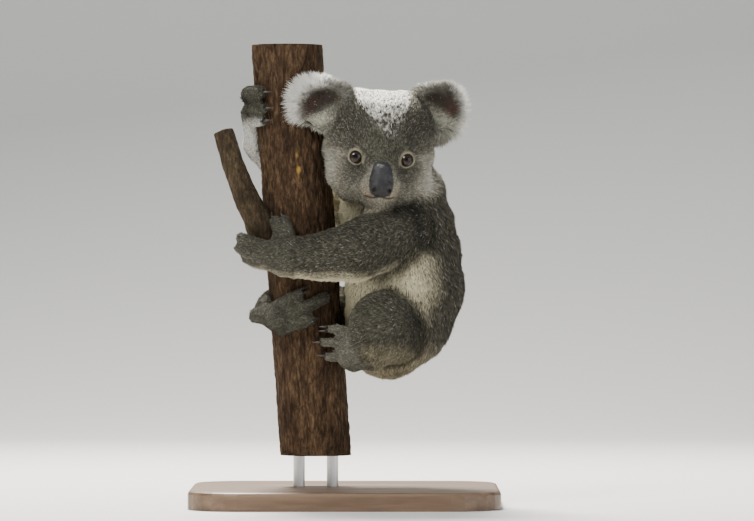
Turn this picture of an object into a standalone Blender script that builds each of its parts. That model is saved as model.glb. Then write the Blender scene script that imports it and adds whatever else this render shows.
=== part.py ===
"""A koala that clings to a cut length of eucalypt trunk, on a plain display stand.

Metres, +Z up. The origin is the middle of the stand's underside. The koala's chest faces
-X, towards the trunk, its left side faces -Y, and its head is turned to look along -Y.
The solids show the animal out to the tips of its coat.

Each part of the body is fused from round forms: balls, and limbs that are chains of balls
joined by tapered lengths. Neighbours are then cut back to each other with a thin gap.
"""

import math

import bmesh
import bpy
from mathutils import Euler, Matrix, Vector

MM = 0.001
GAP = 0.3 * MM  # between solids that touch
LINK_SIDES = 14
BALL_SEGMENTS, BALL_RINGS = 18, 12
EYE_SEGMENTS, EYE_RINGS = 12, 8
CORE_TRIANGLES, LIMB_TRIANGLES, EAR_TRIANGLES = 1160, 535, 185
NOSE_TRIANGLES, BRANCH_TRIANGLES = 160, 200

# Display stand, in mm
BASE_WIDTH, BASE_DEPTH, BASE_HEIGHT = 370, 330, 22
BASE_CORNER, BASE_EDGE = 60, 4
ROD_RADIUS, ROD_SPACING = 7, 40

# Perch: the trunk leans a little, and a side branch leaves it under the left hand
TRUNK_FOOT = Vector((-35, 0, 60))
TRUNK_TOP = Vector((-70.5, 0, 552))
TRUNK_RADIUS = 42
TRUNK_SIDES, TRUNK_RINGS = 28, 7
BARK_WAVES = ((5, 0.9, 0.4), (9, 0.6, 1.3))  # ridges round the trunk, height in mm, twist
BRANCH = (
    ((-60, -12, 274), 19),
    ((-84, -24, 306), 20),
    ((-101, -30, 336), 18),
    ((-115, -30, 362), 16),
    ((-127, -27, 390), 14.5),
    ((-136, -23, 415), 13.5),
    ((-146, -17, 448), 13),
)

# Head: its own frame has X to the side, -Y forward and Z up
HEAD_CENTRE = Vector((40, -36, 426))
HEAD_TURN = (0, 3.5, 5)  # degrees about X, Y and Z
EYE_PLACE, EYE_RADIUS = (30, -43, -12), 10.5
EARS = {  # place, then half the width, thickness and height
    "left": ((67.5, 4, 50), (38, 13, 41)),
    "right": ((-73, -9, 52), (41, 13, 36)),
}
EAR_LEAN = 14  # degrees
EAR_ROOT = ((22, 3, -10), (27, 17, 32))  # towards the head, back and up, then the radii
EAR_HOLLOW = (3, 16, 2)  # its middle from the ear's: towards the head, forward and up
EAR_RIM = 14  # between the hollow's edge and the ear's

# Where the core of the body is parted: a point in mm, and the way towards the head
NECK_TOP = ((58, -14, 388), (-0.1, -0.5, 0.85))
NECK_FOOT = ((66, -6, 352), (-0.05, -0.12, 0.99))

# Joints of the limbs, in mm. The koala's left is the near side, by -Y.
SHOULDER = {"left": (72, -48, 333), "right": (62, 46, 344)}
ELBOW = {"left": (14, -88, 304), "right": (-34, 92, 372)}
WRIST = {"left": (-72, -64, 297), "right": (-107, 22, 434)}
HIP = {"left": (58, -44, 208), "right": (50, 44, 208)}
KNEE = {"left": (46, -88, 217), "right": (-56, 88, 244)}
ANKLE = {"left": (11, -60, 182), "right": (-93, -3, 236)}
PAW_REACH = 17  # a hand or foot begins this far before the wrist or ankle

# Radii from the top of a limb to its end, and how far its lower half bows
ARM_RADII = {"left": (38, 41, 38, 31, 23), "right": (38, 34, 29, 22, 17)}
ARM_BOW = {"left": (0, 0, -3), "right": (-8, 10, 0)}
LEG_RADII = {"left": (42, 43, 33, 21), "right": (46, 30, 21, 15)}
LEG_BOW = {"left": (4, 2, -4), "right": (-12, 6, 0)}

# Digits that lie on the trunk run from a knuckle to a tip, each a (turn, height): degrees
# round the trunk from its -Y side towards +X, and mm up. Then the radii, and the claws.
TRUNK_DIGITS = {
    "hand_right": (
        ("thumb", (-112, 482), (-150, 496), (8, 6.5), 1),
        ("forefinger", (-112, 468), (-152, 477), (8, 6.5), 1),
        ("middle", (-98, 492), (-46, 494), (10, 8.5), 1),
        ("ring", (-98, 473), (-44, 475), (9, 7.5), 1),
        ("little", (-98, 457), (-48, 460), (8, 6.5), 1),
    ),
    "foot_right": (
        ("combing_toe", (-44, 238), (-6, 255), (8, 6.2), 2),
        ("fourth_toe", (-38, 224), (31, 249), (8.5, 7), 1),
        ("fifth_toe", (-38, 210), (8, 222), (8, 6.5), 1),
    ),
}
DIGIT_LIFT = 0.85  # a digit's axis above the bark, as a share of its radius
# Digits that only touch the perch with their tips are placed freely, by three points.
FREE_DIGITS = {
    "hand_left": (
        ("thumb", ((-80, -62, 308), (-77, -56, 326), (-83, -46, 340)), (8.5, 7), 1),
        ("forefinger", ((-70, -62, 308), (-66, -58, 326), (-72, -52, 341)), (8.5, 7), 1),
        ("middle", ((-96, -62, 309), (-112, -58, 315), (-123, -44, 320)), (9, 7), 1),
        ("ring", ((-96, -63, 299), (-113, -59, 303), (-125, -43, 308)), (9, 7), 1),
        ("little", ((-90, -62, 289), (-105, -58, 291), (-117, -43, 296)), (8.5, 6.5), 1),
    ),
    "foot_left": (
        ("big_toe", ((-1, -32, 197), (4, -16, 202), (5, 3, 206)), (9, 7.5), 0),
        ("combing_toe", ((4, -57, 208), (-8, -52, 212), (-18, -45, 212)), (6.2, 5.2), 2),
        ("fourth_toe", ((4, -59, 193), (-11, -54, 196), (-25, -47, 196)), (6.4, 5.5), 1),
        ("fifth_toe", ((4, -58, 177), (-8, -53, 178), (-20, -46, 179)), (6.2, 5.2), 1),
    ),
    "foot_right": (
        ("big_toe", ((-93, -24, 226), (-101, -16, 227), (-107, -10, 227)), (10, 9), 0),
    ),
}
PALMS = {
    "hand_left": (((-76, -66, 298), 20), ((-92, -63, 300), 17)),
    "hand_right": (((-107, 16, 444), 16), ((-110, 6, 470), 15)),
    "foot_left": (((11, -58, 183), 19), ((7, -50, 192), 17)),
    "foot_right": (((-93, -14, 230), 14), ((-80, -42, 222), 15)),
}
CLAW_LENGTH, CLAW_RADIUS, CLAW_POINT, CLAW_ROOT = 12, 2.4, 0.5, 2.5  # the root is in the digit
CLAW_SIDES, CLAW_RINGS = 6, 3
# How far the point hooks towards the bark, and how much the bend shortens the claw
CLAW_HOOK, CLAW_BEND = 0.5, 0.2
TWIN_SPACING = 5  # between the two claws of the fused second and third toes

COLOURS = {
    "fur_grey": ((0.21, 0.2, 0.18), 0.9),
    "fur_cream": ((0.55, 0.5, 0.4), 0.9),
    "nose_leather": ((0.035, 0.036, 0.04), 0.5),
    "eye_brown": ((0.05, 0.032, 0.02), 0.1),
    "claw_horn": ((0.03, 0.026, 0.022), 0.4),
    "bark": ((0.11, 0.065, 0.042), 0.95),
    "stand_wood": ((0.2, 0.13, 0.08), 0.5),
    "stand_steel": ((0.55, 0.55, 0.55), 0.35),
}


def collection(name):
    made = bpy.data.collections.new(name)
    bpy.context.scene.collection.children.link(made)
    return made


def material(name):
    found = bpy.data.materials.get(name)
    if found:
        return found
    made = bpy.data.materials.new(name)
    made.use_nodes = True
    shader = made.node_tree.nodes["Principled BSDF"]
    colour, roughness = COLOURS[name]
    shader.inputs["Base Color"].default_value = (*colour, 1)
    shader.inputs["Roughness"].default_value = roughness
    shader.inputs["Metallic"].default_value = 1.0 if name == "stand_steel" else 0.0
    return made


def object_of(name, bm, colour, group):
    mesh = bpy.data.meshes.new(name)
    bm.to_mesh(mesh)
    bm.free()
    made = bpy.data.objects.new(name, mesh)
    made.data.materials.append(material(colour))
    made.data.shade_smooth()
    group.objects.link(made)
    return made


# Forms. Each is a function that adds its shape to a bmesh; sizes are in mm.


def ball(centre, radii, turn=(0, 0, 0), segments=BALL_SEGMENTS, rings=BALL_RINGS):
    """An ellipsoid with these half-sizes, turned by degrees about X, Y and Z."""
    spin = Euler([math.radians(d) for d in turn]).to_matrix().to_4x4()
    matrix = Matrix.Translation(centre) @ spin @ Matrix.Diagonal((*radii, 1))

    def add(bm, place):
        bmesh.ops.create_uvsphere(
            bm, u_segments=segments, v_segments=rings, radius=1, matrix=place @ matrix
        )

    return add


def limb(*stations):
    """Balls at (centre, radius) stations, with a tapered length between each two."""

    def add(bm, place):
        for centre, radius in stations:
            ball(centre, (radius,) * 3)(bm, place)
        for (start, start_radius), (end, end_radius) in zip(stations, stations[1:]):
            along = Vector(end) - Vector(start)
            lean = along.to_track_quat("Z", "Y").to_matrix().to_4x4()
            middle = Matrix.Translation((Vector(start) + Vector(end)) / 2)
            bmesh.ops.create_cone(
                bm, cap_ends=True, segments=LINK_SIDES, radius1=start_radius,
                radius2=end_radius, depth=along.length, matrix=place @ middle @ lean,
            )

    return add


def settle(obj):
    """Makes the object's evaluated mesh its own, without modifiers."""
    graph = bpy.context.evaluated_depsgraph_get()
    mesh = bpy.data.meshes.new_from_object(obj.evaluated_get(graph))
    obj.modifiers.clear()
    obj.data = mesh


def fused(name, forms, colour, group, voxel, triangles, rounds=6, place=Matrix()):
    """One closed, smooth body from overlapping forms, thinned to a number of triangles."""
    bm = bmesh.new()
    for form in forms:
        form(bm, Matrix.Scale(MM, 4) @ place)
    made = object_of(name, bm, colour, group)
    remesh = made.modifiers.new("fuse", "REMESH")
    remesh.mode = "VOXEL"
    remesh.voxel_size = voxel * MM
    smooth = made.modifiers.new("soften", "SMOOTH")
    smooth.factor, smooth.iterations = 0.5, rounds
    made.modifiers.new("triangles", "TRIANGULATE").quad_method = "SHORTEST_DIAGONAL"
    settle(made)
    thin = made.modifiers.new("thin", "DECIMATE")
    thin.ratio = min(1.0, triangles / len(made.data.polygons))
    settle(made)
    made.data.shade_smooth()
    return made


# Cutting neighbours back to each other


def inflated(obj, group):
    """A copy of a solid, grown by the gap, to cut its neighbours with."""
    bm = bmesh.new()
    bm.from_mesh(obj.data)
    bm.normal_update()
    for vert in bm.verts:
        vert.co += vert.normal * GAP * vert.calc_shell_factor()
    return cutter_of(obj.name, bm, group)


def cutter_of(name, bm, group):
    cutter = object_of("cutter_" + name, bm, "bark", group)
    cutter.hide_render = True
    cutter.display_type = "WIRE"
    return cutter


def keep_largest_piece(mesh):
    """Removes the scraps that a cut can leave beside the main body."""
    bm = bmesh.new()
    bm.from_mesh(mesh)
    unseen, pieces = set(bm.faces), []
    while unseen:
        stack = [unseen.pop()]
        piece = set(stack)
        while stack:
            for edge in stack.pop().edges:
                for face in edge.link_faces:
                    if face in unseen:
                        unseen.discard(face)
                        piece.add(face)
                        stack.append(face)
        pieces.append(piece)
    largest = max(pieces, key=lambda piece: sum(f.calc_area() for f in piece))
    scraps = [f for piece in pieces if piece is not largest for f in piece]
    bmesh.ops.delete(bm, geom=scraps, context="FACES")
    bm.to_mesh(mesh)
    bm.free()


def subtract(obj, cutter):
    cut = obj.modifiers.new("cut", "BOOLEAN")
    cut.operation = "DIFFERENCE"
    cut.object = cutter
    settle(obj)
    keep_largest_piece(obj.data)
    obj.data.shade_smooth()


def fit_against(obj, neighbours, cutters):
    """Cuts a solid back so that it meets its neighbours with the gap."""
    for neighbour in neighbours:
        subtract(obj, inflated(neighbour, cutters))
    return obj


def clear_beyond(obj, point, normal):
    """Removes what lies on the normal's side of a plane, and closes the cut."""
    bm = bmesh.new()
    bm.from_mesh(obj.data)
    bmesh.ops.bisect_plane(
        bm, geom=[*bm.verts, *bm.edges, *bm.faces], plane_co=point, plane_no=normal,
        clear_outer=True,
    )
    rim = [e for e in bm.edges if e.is_boundary]
    caps = bmesh.ops.holes_fill(bm, edges=rim, sides=0)["faces"]
    bmesh.ops.triangulate(bm, faces=caps)
    bmesh.ops.recalc_face_normals(bm, faces=bm.faces)
    bm.to_mesh(obj.data)
    bm.free()
    keep_largest_piece(obj.data)


def part_off(obj, name, colour, point, normal, group):
    """Parts a body with a thin plane cut. What lies beyond it becomes a new object."""
    normal = Vector(normal).normalized()
    point = Vector(point) * MM
    beyond = bpy.data.objects.new(name, obj.data.copy())
    beyond.data.materials.clear()
    beyond.data.materials.append(material(colour))
    group.objects.link(beyond)
    clear_beyond(obj, point - normal * GAP / 2, normal)
    clear_beyond(beyond, point + normal * GAP / 2, -normal)
    return beyond


def part_limb(limb_body, stations, names, group):
    """Parts a whole limb at its middle joint and before its hand or foot."""
    joints = [centre for centre, _ in stations]
    middle = joints[-3]
    above, below = (middle - joints[0]).normalized(), (joints[-1] - middle).normalized()
    reach = (joints[-1] - joints[-2]).normalized()
    lower = part_off(limb_body, names[0], "fur_grey", middle, above + below, group)
    part_off(lower, names[1], "fur_grey", joints[-1] - reach * PAW_REACH, reach, group)


# Stand and perch


def stand_base(group):
    bm = bmesh.new()
    bmesh.ops.create_cube(bm, size=1)
    bmesh.ops.scale(bm, verts=bm.verts, vec=Vector((BASE_WIDTH, BASE_DEPTH, BASE_HEIGHT)) * MM)
    bmesh.ops.translate(bm, verts=bm.verts, vec=(0, 0, BASE_HEIGHT * MM / 2))
    upright = [e for e in bm.edges if abs(e.verts[0].co.z - e.verts[1].co.z) > MM]
    bmesh.ops.bevel(
        bm, geom=upright, offset=BASE_CORNER * MM, segments=6, profile=0.5, affect="EDGES",
        material=-1,
    )
    top = BASE_HEIGHT * MM
    rim = [e for e in bm.edges if all(abs(v.co.z - top) < MM / 10 for v in e.verts)]
    bmesh.ops.bevel(
        bm, geom=rim, offset=BASE_EDGE * MM, segments=2, profile=0.5, affect="EDGES",
        material=-1,
    )
    return object_of("stand_base", bm, "stand_wood", group)


def stand_rod(name, side, group):
    """An upright steel rod from the base to the foot of the trunk."""
    bottom = BASE_HEIGHT * MM + GAP
    top = TRUNK_FOOT.z * MM - GAP
    where = Vector((TRUNK_FOOT.x + side * ROD_SPACING / 2, 0, 0)) * MM
    where.z = (bottom + top) / 2
    bm = bmesh.new()
    bmesh.ops.create_cone(
        bm, cap_ends=True, segments=16, radius1=ROD_RADIUS * MM, radius2=ROD_RADIUS * MM,
        depth=top - bottom, matrix=Matrix.Translation(where),
    )
    return object_of(name, bm, "stand_steel", group)


def trunk_axis(height):
    """The middle of the trunk at this height, in mm."""
    share = (height - TRUNK_FOOT.z) / (TRUNK_TOP.z - TRUNK_FOOT.z)
    return TRUNK_FOOT.lerp(TRUNK_TOP, share)


def on_trunk(turn, height, lift):
    """A point this far above the bark; the turn is in degrees from -Y towards +X."""
    angle = math.radians(turn)
    out = Vector((math.sin(angle), -math.cos(angle), 0))
    return trunk_axis(height) + out * (TRUNK_RADIUS + lift)


def perch_trunk(group):
    """A leaning cut length with low ridges of bark. Its two ends are level."""
    bm = bmesh.new()
    height = TRUNK_TOP.z - TRUNK_FOOT.z
    bmesh.ops.create_cone(
        bm, cap_ends=True, segments=TRUNK_SIDES, radius1=TRUNK_RADIUS,
        radius2=TRUNK_RADIUS, depth=height,
    )
    upright = [e for e in bm.edges if abs(e.verts[0].co.z - e.verts[1].co.z) > 1]
    bmesh.ops.subdivide_edges(bm, edges=upright, cuts=TRUNK_RINGS - 1, use_grid_fill=True)
    for vert in bm.verts:
        share = vert.co.z / height + 0.5
        angle = math.atan2(vert.co.y, vert.co.x)
        relief = sum(
            size * math.sin(count * angle + twist * math.tau * share)
            for count, size, twist in BARK_WAVES
        )
        middle = TRUNK_FOOT.lerp(TRUNK_TOP, share)
        out = Vector((math.cos(angle), math.sin(angle), 0)) * (TRUNK_RADIUS + relief)
        vert.co = (middle + out) * MM
    bmesh.ops.triangulate(bm, faces=bm.faces)
    return object_of("perch_trunk", bm, "bark", group)


def perch_branch(group):
    """A bent limb whose far end is cut square."""
    branch = fused("perch_branch", [limb(*BRANCH)], "bark", group, voxel=2.5,
                   triangles=BRANCH_TRIANGLES)
    end, before = Vector(BRANCH[-1][0]), Vector(BRANCH[-2][0])
    clear_beyond(branch, end * MM, (end - before).normalized())
    return branch


# Body and head


TORSO = (
    ball((52, 0, 206), (56, 64, 58)),
    ball((66, 0, 232), (70, 74, 72)),
    ball((72, 0, 262), (76, 76, 74)),
    ball((72, 0, 300), (72, 70, 68)),
    ball((76, -2, 336), (60, 66, 50)),
    ball((34, -4, 350), (44, 46, 50)),
)
NECK = (
    ball((68, -10, 374), (57, 52, 42)),
    ball((40, -20, 382), (46, 46, 40)),
)
HEAD_MIDDLE = (
    ball((0, 12, 12), (60, 60, 62)),  # cranium
    ball((0, -24, -4), (46, 34, 46)),  # face
    ball((0, -42, -14), (24, 26, 30)),  # bridge of the nose
    ball((0, -50, -44), (26, 26, 21)),  # muzzle
    ball((0, -38, -60), (22, 25, 16)),  # chin
)
NOSE = (  # a tall pad, narrower at its top and square at its foot
    ball((0, -71, -32), (13.5, 9.5, 14)),
    ball((0, -67, -24), (9.5, 8, 8)),
    ball((-4, -73, -46), (8.8, 9.5, 11.5)),
    ball((4, -73, -46), (8.8, 9.5, 11.5)),
)


def head_side(side):
    return (
        ball((side * 26, 8, 24), (42, 50, 51)),  # corner of the crown
        ball((side * 34, 0, 2), (35, 40, 40)),  # temple
        ball((side * 30, -12, -26), (34, 36, 36)),  # cheek
        ball((side * 24, -14, -44), (31, 34, 26)),  # jowl
        ball((side * 25, -38, 6), (20, 18, 16)),  # brow
    )


def head_place():
    turn = Euler([math.radians(d) for d in HEAD_TURN]).to_matrix().to_4x4()
    return Matrix.Translation(HEAD_CENTRE) @ turn


def placed(form, place):
    """A form moved by a matrix in mm."""
    return lambda bm, outer: form(bm, outer @ place)


def core(group):
    """The torso, neck and head as one body, to be parted later."""
    head = (*HEAD_MIDDLE, *head_side(-1), *head_side(1))
    forms = [*TORSO, *NECK, *(placed(form, head_place()) for form in head)]
    return fused("torso", forms, "fur_cream", group, voxel=3,
                 triangles=CORE_TRIANGLES, rounds=9)


def ear(side, group, cutters):
    """A round, thick ear that leans out from the side of the crown, hollow in front."""
    (x, y, z), (width, thickness, height) = EARS[side]
    way = math.copysign(1, x)
    lean = (0, way * EAR_LEAN, way * EAR_LEAN)
    (inward, back, up), root_radii = EAR_ROOT
    forms = (
        ball((x, y, z), (width, thickness, height), lean),
        ball((x - way * inward, y + back, z + up), root_radii),
    )
    made = fused("ear_" + side, forms, "fur_grey", group, voxel=2.5,
                 triangles=EAR_TRIANGLES, rounds=4, place=head_place())
    inward, forward, up = EAR_HOLLOW
    hollow = ball((x - way * inward, y - forward, z + up),
                  (width - EAR_RIM, forward, height - EAR_RIM), lean, segments=12, rings=8)
    bm = bmesh.new()
    hollow(bm, Matrix.Scale(MM, 4) @ head_place())
    subtract(made, cutter_of("hollow_" + side, bm, cutters))
    return made


def eye(name, side, group):
    x, y, z = EYE_PLACE
    bm = bmesh.new()
    globe = ball((side * x, y, z), (EYE_RADIUS,) * 3, segments=EYE_SEGMENTS, rings=EYE_RINGS)
    globe(bm, Matrix.Scale(MM, 4) @ head_place())
    return object_of(name, bm, "eye_brown", group)


def nose(group):
    return fused("nose", NOSE, "nose_leather", group, voxel=1.6,
                 triangles=NOSE_TRIANGLES, rounds=4, place=head_place())


# Limbs


def arm_stations(side):
    shoulder, elbow, wrist = (Vector(joint[side]) for joint in (SHOULDER, ELBOW, WRIST))
    upper, lower = shoulder.lerp(elbow, 0.5), elbow.lerp(wrist, 0.5) + Vector(ARM_BOW[side])
    return tuple(zip((shoulder, upper, elbow, lower, wrist), ARM_RADII[side]))


def leg_stations(side):
    hip, knee, ankle = (Vector(joint[side]) for joint in (HIP, KNEE, ANKLE))
    lower = knee.lerp(ankle, 0.5) + Vector(LEG_BOW[side])
    return tuple(zip((hip, knee, lower, ankle), LEG_RADII[side]))


def whole_limb(name, stations, paw_name, group):
    """A limb with its hand or foot as one body, to be parted later."""
    forms = [limb(*stations), limb(*PALMS[paw_name])]
    for _, path, (start, end), _ in digits_of(paw_name):
        forms.append(limb((path[0], start), (path[1], (start + end) / 2), (path[2], end)))
    return fused(name, forms, "fur_grey", group, voxel=2,
                 triangles=LIMB_TRIANGLES, rounds=3)


# Hands, feet and claws


def trunk_path(knuckle, tip, radii):
    """Three points over the bark, from the knuckle to the tip."""
    path = []
    for share in (0, 0.5, 1):
        turn = knuckle[0] + (tip[0] - knuckle[0]) * share
        height = knuckle[1] + (tip[1] - knuckle[1]) * share
        radius = radii[0] + (radii[1] - radii[0]) * share
        path.append(on_trunk(turn, height, radius * DIGIT_LIFT))
    return path


def digits_of(paw_name):
    """The paw's digits, each a (name, path, radii, claws)."""
    free = [
        (name, [Vector(p) for p in path], radii, claws)
        for name, path, radii, claws in FREE_DIGITS.get(paw_name, ())
    ]
    on_bark = [
        (name, trunk_path(knuckle, tip, radii), radii, claws)
        for name, knuckle, tip, radii, claws in TRUNK_DIGITS.get(paw_name, ())
    ]
    return free + on_bark


def claw(name, path, tip_radius, aside, group):
    """A tapered cone that runs along the bark from inside its digit, and hooks down to it."""
    tip = path[2]
    inward = (trunk_axis(tip.z) - tip).normalized()
    along = tip - path[1]
    along = (along - along.project(inward)).normalized()
    across = along.cross(inward)
    root = tip + along * (tip_radius - CLAW_ROOT) + across * aside
    bm = bmesh.new()
    bmesh.ops.create_cone(
        bm, cap_ends=True, segments=CLAW_SIDES, radius1=CLAW_RADIUS, radius2=CLAW_POINT,
        depth=CLAW_LENGTH,
    )
    rising = [e for e in bm.edges if abs(e.verts[0].co.z - e.verts[1].co.z) > 1]
    bmesh.ops.subdivide_edges(bm, edges=rising, cuts=CLAW_RINGS - 1, use_grid_fill=True)
    for vert in bm.verts:
        share = vert.co.z / CLAW_LENGTH + 0.5
        reach = share * (1 - CLAW_BEND * share)
        centre = root + (along * reach + inward * CLAW_HOOK * share ** 2) * CLAW_LENGTH
        vert.co = (centre + across * vert.co.x + inward * vert.co.y) * MM
    bmesh.ops.recalc_face_normals(bm, faces=bm.faces)
    bmesh.ops.triangulate(bm, faces=bm.faces)
    return object_of(name, bm, "claw_horn", group)


def claws_of(paw_name, group):
    made = []
    for digit_name, path, radii, claws in digits_of(paw_name):
        name = f"claw_{paw_name}_{digit_name}"
        if claws == 1:
            made.append(claw(name, path, radii[1], 0, group))
        elif claws == 2:
            for suffix, way in (("_a", -1), ("_b", 1)):
                aside = way * TWIN_SPACING / 2
                made.append(claw(name + suffix, path, radii[1], aside, group))
    return made


def build():
    for obj in list(bpy.data.objects):
        bpy.data.objects.remove(obj)
    body, cutters = collection("Koala"), collection("Cutters")

    stand_base(body)
    stand_rod("stand_rod_left", -1, body)
    stand_rod("stand_rod_right", 1, body)
    trunk = perch_trunk(body)
    branch = fit_against(perch_branch(body), [trunk], cutters)

    eyes = [eye("eye_right", -1, body), eye("eye_left", 1, body)]
    animal = fit_against(core(body), [trunk, *eyes, nose(body)], cutters)
    for side in ("right", "left"):
        fit_against(ear(side, body, cutters), [animal, trunk], cutters)

    arms, legs = {}, {}
    for side in ("left", "right"):
        hand, foot = "hand_" + side, "foot_" + side
        claws = [fit_against(c, [trunk, branch], cutters) for c in claws_of(hand, body)]
        arms[side] = whole_limb("upper_arm_" + side, arm_stations(side), hand, body)
        fit_against(arms[side], [animal, trunk, branch, *claws], cutters)
        claws = [fit_against(c, [trunk], cutters) for c in claws_of(foot, body)]
        legs[side] = whole_limb("thigh_" + side, leg_stations(side), foot, body)
        fit_against(legs[side], [animal, arms[side], trunk, *claws], cutters)

    neck = part_off(animal, "neck", "fur_grey", *NECK_FOOT, body)
    part_off(neck, "head", "fur_grey", *NECK_TOP, body)
    for side in ("left", "right"):
        names = ("forearm_" + side, "hand_" + side)
        part_limb(arms[side], arm_stations(side), names, body)
        names = ("shin_" + side, "foot_" + side)
        part_limb(legs[side], leg_stations(side), names, body)
    for cutter in list(cutters.objects):
        bpy.data.objects.remove(cutter)


build()
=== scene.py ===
# %% [markdown]
# # A koala on a cut length of trunk
#
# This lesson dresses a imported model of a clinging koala: one skin over the whole body, a coat
# of solid tufts, and finer eyes, nose, claws, bark and stand. The frame gives each part's
# place, so nothing here is fitted by eye to another file.

import math

import bmesh
import bpy
import numpy as np
from mathutils import Matrix, Vector, noise
from mathutils.bvhtree import BVHTree


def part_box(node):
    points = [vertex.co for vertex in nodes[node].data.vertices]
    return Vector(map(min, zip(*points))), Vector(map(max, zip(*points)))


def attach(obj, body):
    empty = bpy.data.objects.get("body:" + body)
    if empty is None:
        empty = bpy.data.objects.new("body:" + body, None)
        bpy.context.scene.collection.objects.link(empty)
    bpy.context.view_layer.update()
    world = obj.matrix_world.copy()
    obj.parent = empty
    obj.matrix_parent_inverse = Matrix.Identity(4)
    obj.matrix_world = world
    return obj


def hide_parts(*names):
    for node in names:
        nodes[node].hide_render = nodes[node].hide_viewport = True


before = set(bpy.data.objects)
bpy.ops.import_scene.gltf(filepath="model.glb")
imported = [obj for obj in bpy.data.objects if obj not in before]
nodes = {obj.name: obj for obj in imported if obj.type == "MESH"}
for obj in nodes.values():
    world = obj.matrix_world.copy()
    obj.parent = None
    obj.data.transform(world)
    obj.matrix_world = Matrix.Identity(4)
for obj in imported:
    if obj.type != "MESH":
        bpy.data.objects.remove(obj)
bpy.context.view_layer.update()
MM = 0.001
print(len(nodes), "nodes in the frame")

# %% [markdown]
# Small helpers keep the later cells short. A mesh's points go to numpy and back in one call,
# because the skin has tens of thousands of them and a Python loop over them is slow.

# %% Helpers for arrays


def rows_of(items, field, width, kind=np.float32):
    """One field of all the items, as an array with a row for each."""
    flat = np.empty(len(items) * width, kind)
    items.foreach_get(field, flat)
    return flat.reshape(-1, width)


def points_of(mesh):
    return rows_of(mesh.vertices, "co", 3).astype(float)


def normals_of(mesh):
    return rows_of(mesh.vertex_normals, "vector", 3).astype(float)


def edges_of(mesh):
    return rows_of(mesh.edges, "vertices", 2, np.int32)


def move_points(mesh, points):
    mesh.vertices.foreach_set("co", points.astype(np.float32).ravel())
    mesh.update()


def relaxed(values, edges, rounds, share=0.5):
    """Draws each point's values towards the mean of its neighbours'."""
    first, second = edges.T
    size = len(values)
    neighbours = np.bincount(first, minlength=size) + np.bincount(second, minlength=size)
    for _ in range(rounds):
        total = np.stack([
            np.bincount(first, column[second], size) + np.bincount(second, column[first], size)
            for column in values.T
        ], 1)
        values = values + share * (total / neighbours[:, None] - values)
    return values


def rounded(mesh, rounds):
    """Smooths a mesh without shrinking it: a step in, then a slightly longer step out."""
    edges = edges_of(mesh)
    points = points_of(mesh)
    for _ in range(rounds):
        points = relaxed(points, edges, 1, 0.5)
        points = relaxed(points, edges, 1, -0.52)
    move_points(mesh, points)


def step(low, high, x):
    """A smooth ramp from 0 at low to 1 at high."""
    share = np.clip((x - low) / (high - low), 0, 1)
    return share * share * (3 - 2 * share)


def unit(vectors):
    length = np.linalg.norm(vectors, axis=-1, keepdims=True)
    return vectors / np.maximum(length, 1e-12)


# %% [markdown]
# A finished piece is put in the scene with its material, and rides on the koala's body.
# `closed_copy` is the start of most pieces: a frame's solid with its loose triangles merged.

# %% Helpers for pieces


def linked(name, data):
    """A new object in the scene."""
    made = bpy.data.objects.new(name, data)
    bpy.context.scene.collection.objects.link(made)
    return made


def piece(name, mesh, material, slot, *replaced):
    """A finished piece that rides on the koala's one body."""
    made = linked(name, mesh)
    mesh.materials.clear()
    mesh.materials.append(material)
    mesh.shade_smooth()
    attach(made, "root")
    if replaced:
        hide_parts(*replaced)
    print(name, sum(len(p.vertices) - 2 for p in mesh.polygons), "triangles")
    return made


def closed_copy(name, grow=0.0):
    """A CAD node's mesh with its loose triangles merged, grown along its normals."""
    bm = bmesh.new()
    bm.from_mesh(nodes[name].data)
    bmesh.ops.remove_doubles(bm, verts=bm.verts, dist=1e-6)
    bm.normal_update()
    for vert in bm.verts:
        vert.co += vert.normal * grow
    return bm


def mesh_of(name, bm):
    mesh = bpy.data.meshes.new(name)
    bm.to_mesh(mesh)
    bm.free()
    return mesh


def joined_mesh(name, bms):
    """One mesh that holds them all."""
    joined = bmesh.new()
    for bm in bms:
        part = mesh_of("part", bm)
        joined.from_mesh(part)
        bpy.data.meshes.remove(part)
    return mesh_of(name, joined)


def voxelled(name, bms, voxel):
    """One mesh of even quads around several closed ones."""
    rough = linked("rough", joined_mesh("rough", bms))
    remesh = rough.modifiers.new("even", "REMESH")
    remesh.mode, remesh.voxel_size = "VOXEL", voxel
    graph = bpy.context.evaluated_depsgraph_get()
    mesh = bpy.data.meshes.new_from_object(rough.evaluated_get(graph))
    mesh.name = name
    bpy.data.objects.remove(rough)
    return mesh


def surface_tree(mesh):
    """Finds the nearest place on a mesh, or where a ray meets it."""
    return BVHTree.FromPolygons([v.co for v in mesh.vertices], [p.vertices for p in mesh.polygons])


def store(mesh, name, values, domain="POINT"):
    """Keeps one number a point or face, for a material to read."""
    layer = mesh.attributes.new(name, "FLOAT", domain)
    layer.data.foreach_set("value", np.asarray(values, np.float32))


def paint(mesh, name, colours):
    """Keeps a colour for each point, for a material to read."""
    layer = mesh.color_attributes.new(name, "FLOAT_COLOR", "POINT")
    rows = np.ones((len(colours), 4), np.float32)
    rows[:, :3] = colours
    layer.data.foreach_set("color", rows.ravel())


# %% [markdown]
# A material is a small node graph. `Graph` adds a node with its values and joins sockets, so
# each recipe below reads as one short list.

# %% Helper for materials


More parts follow.
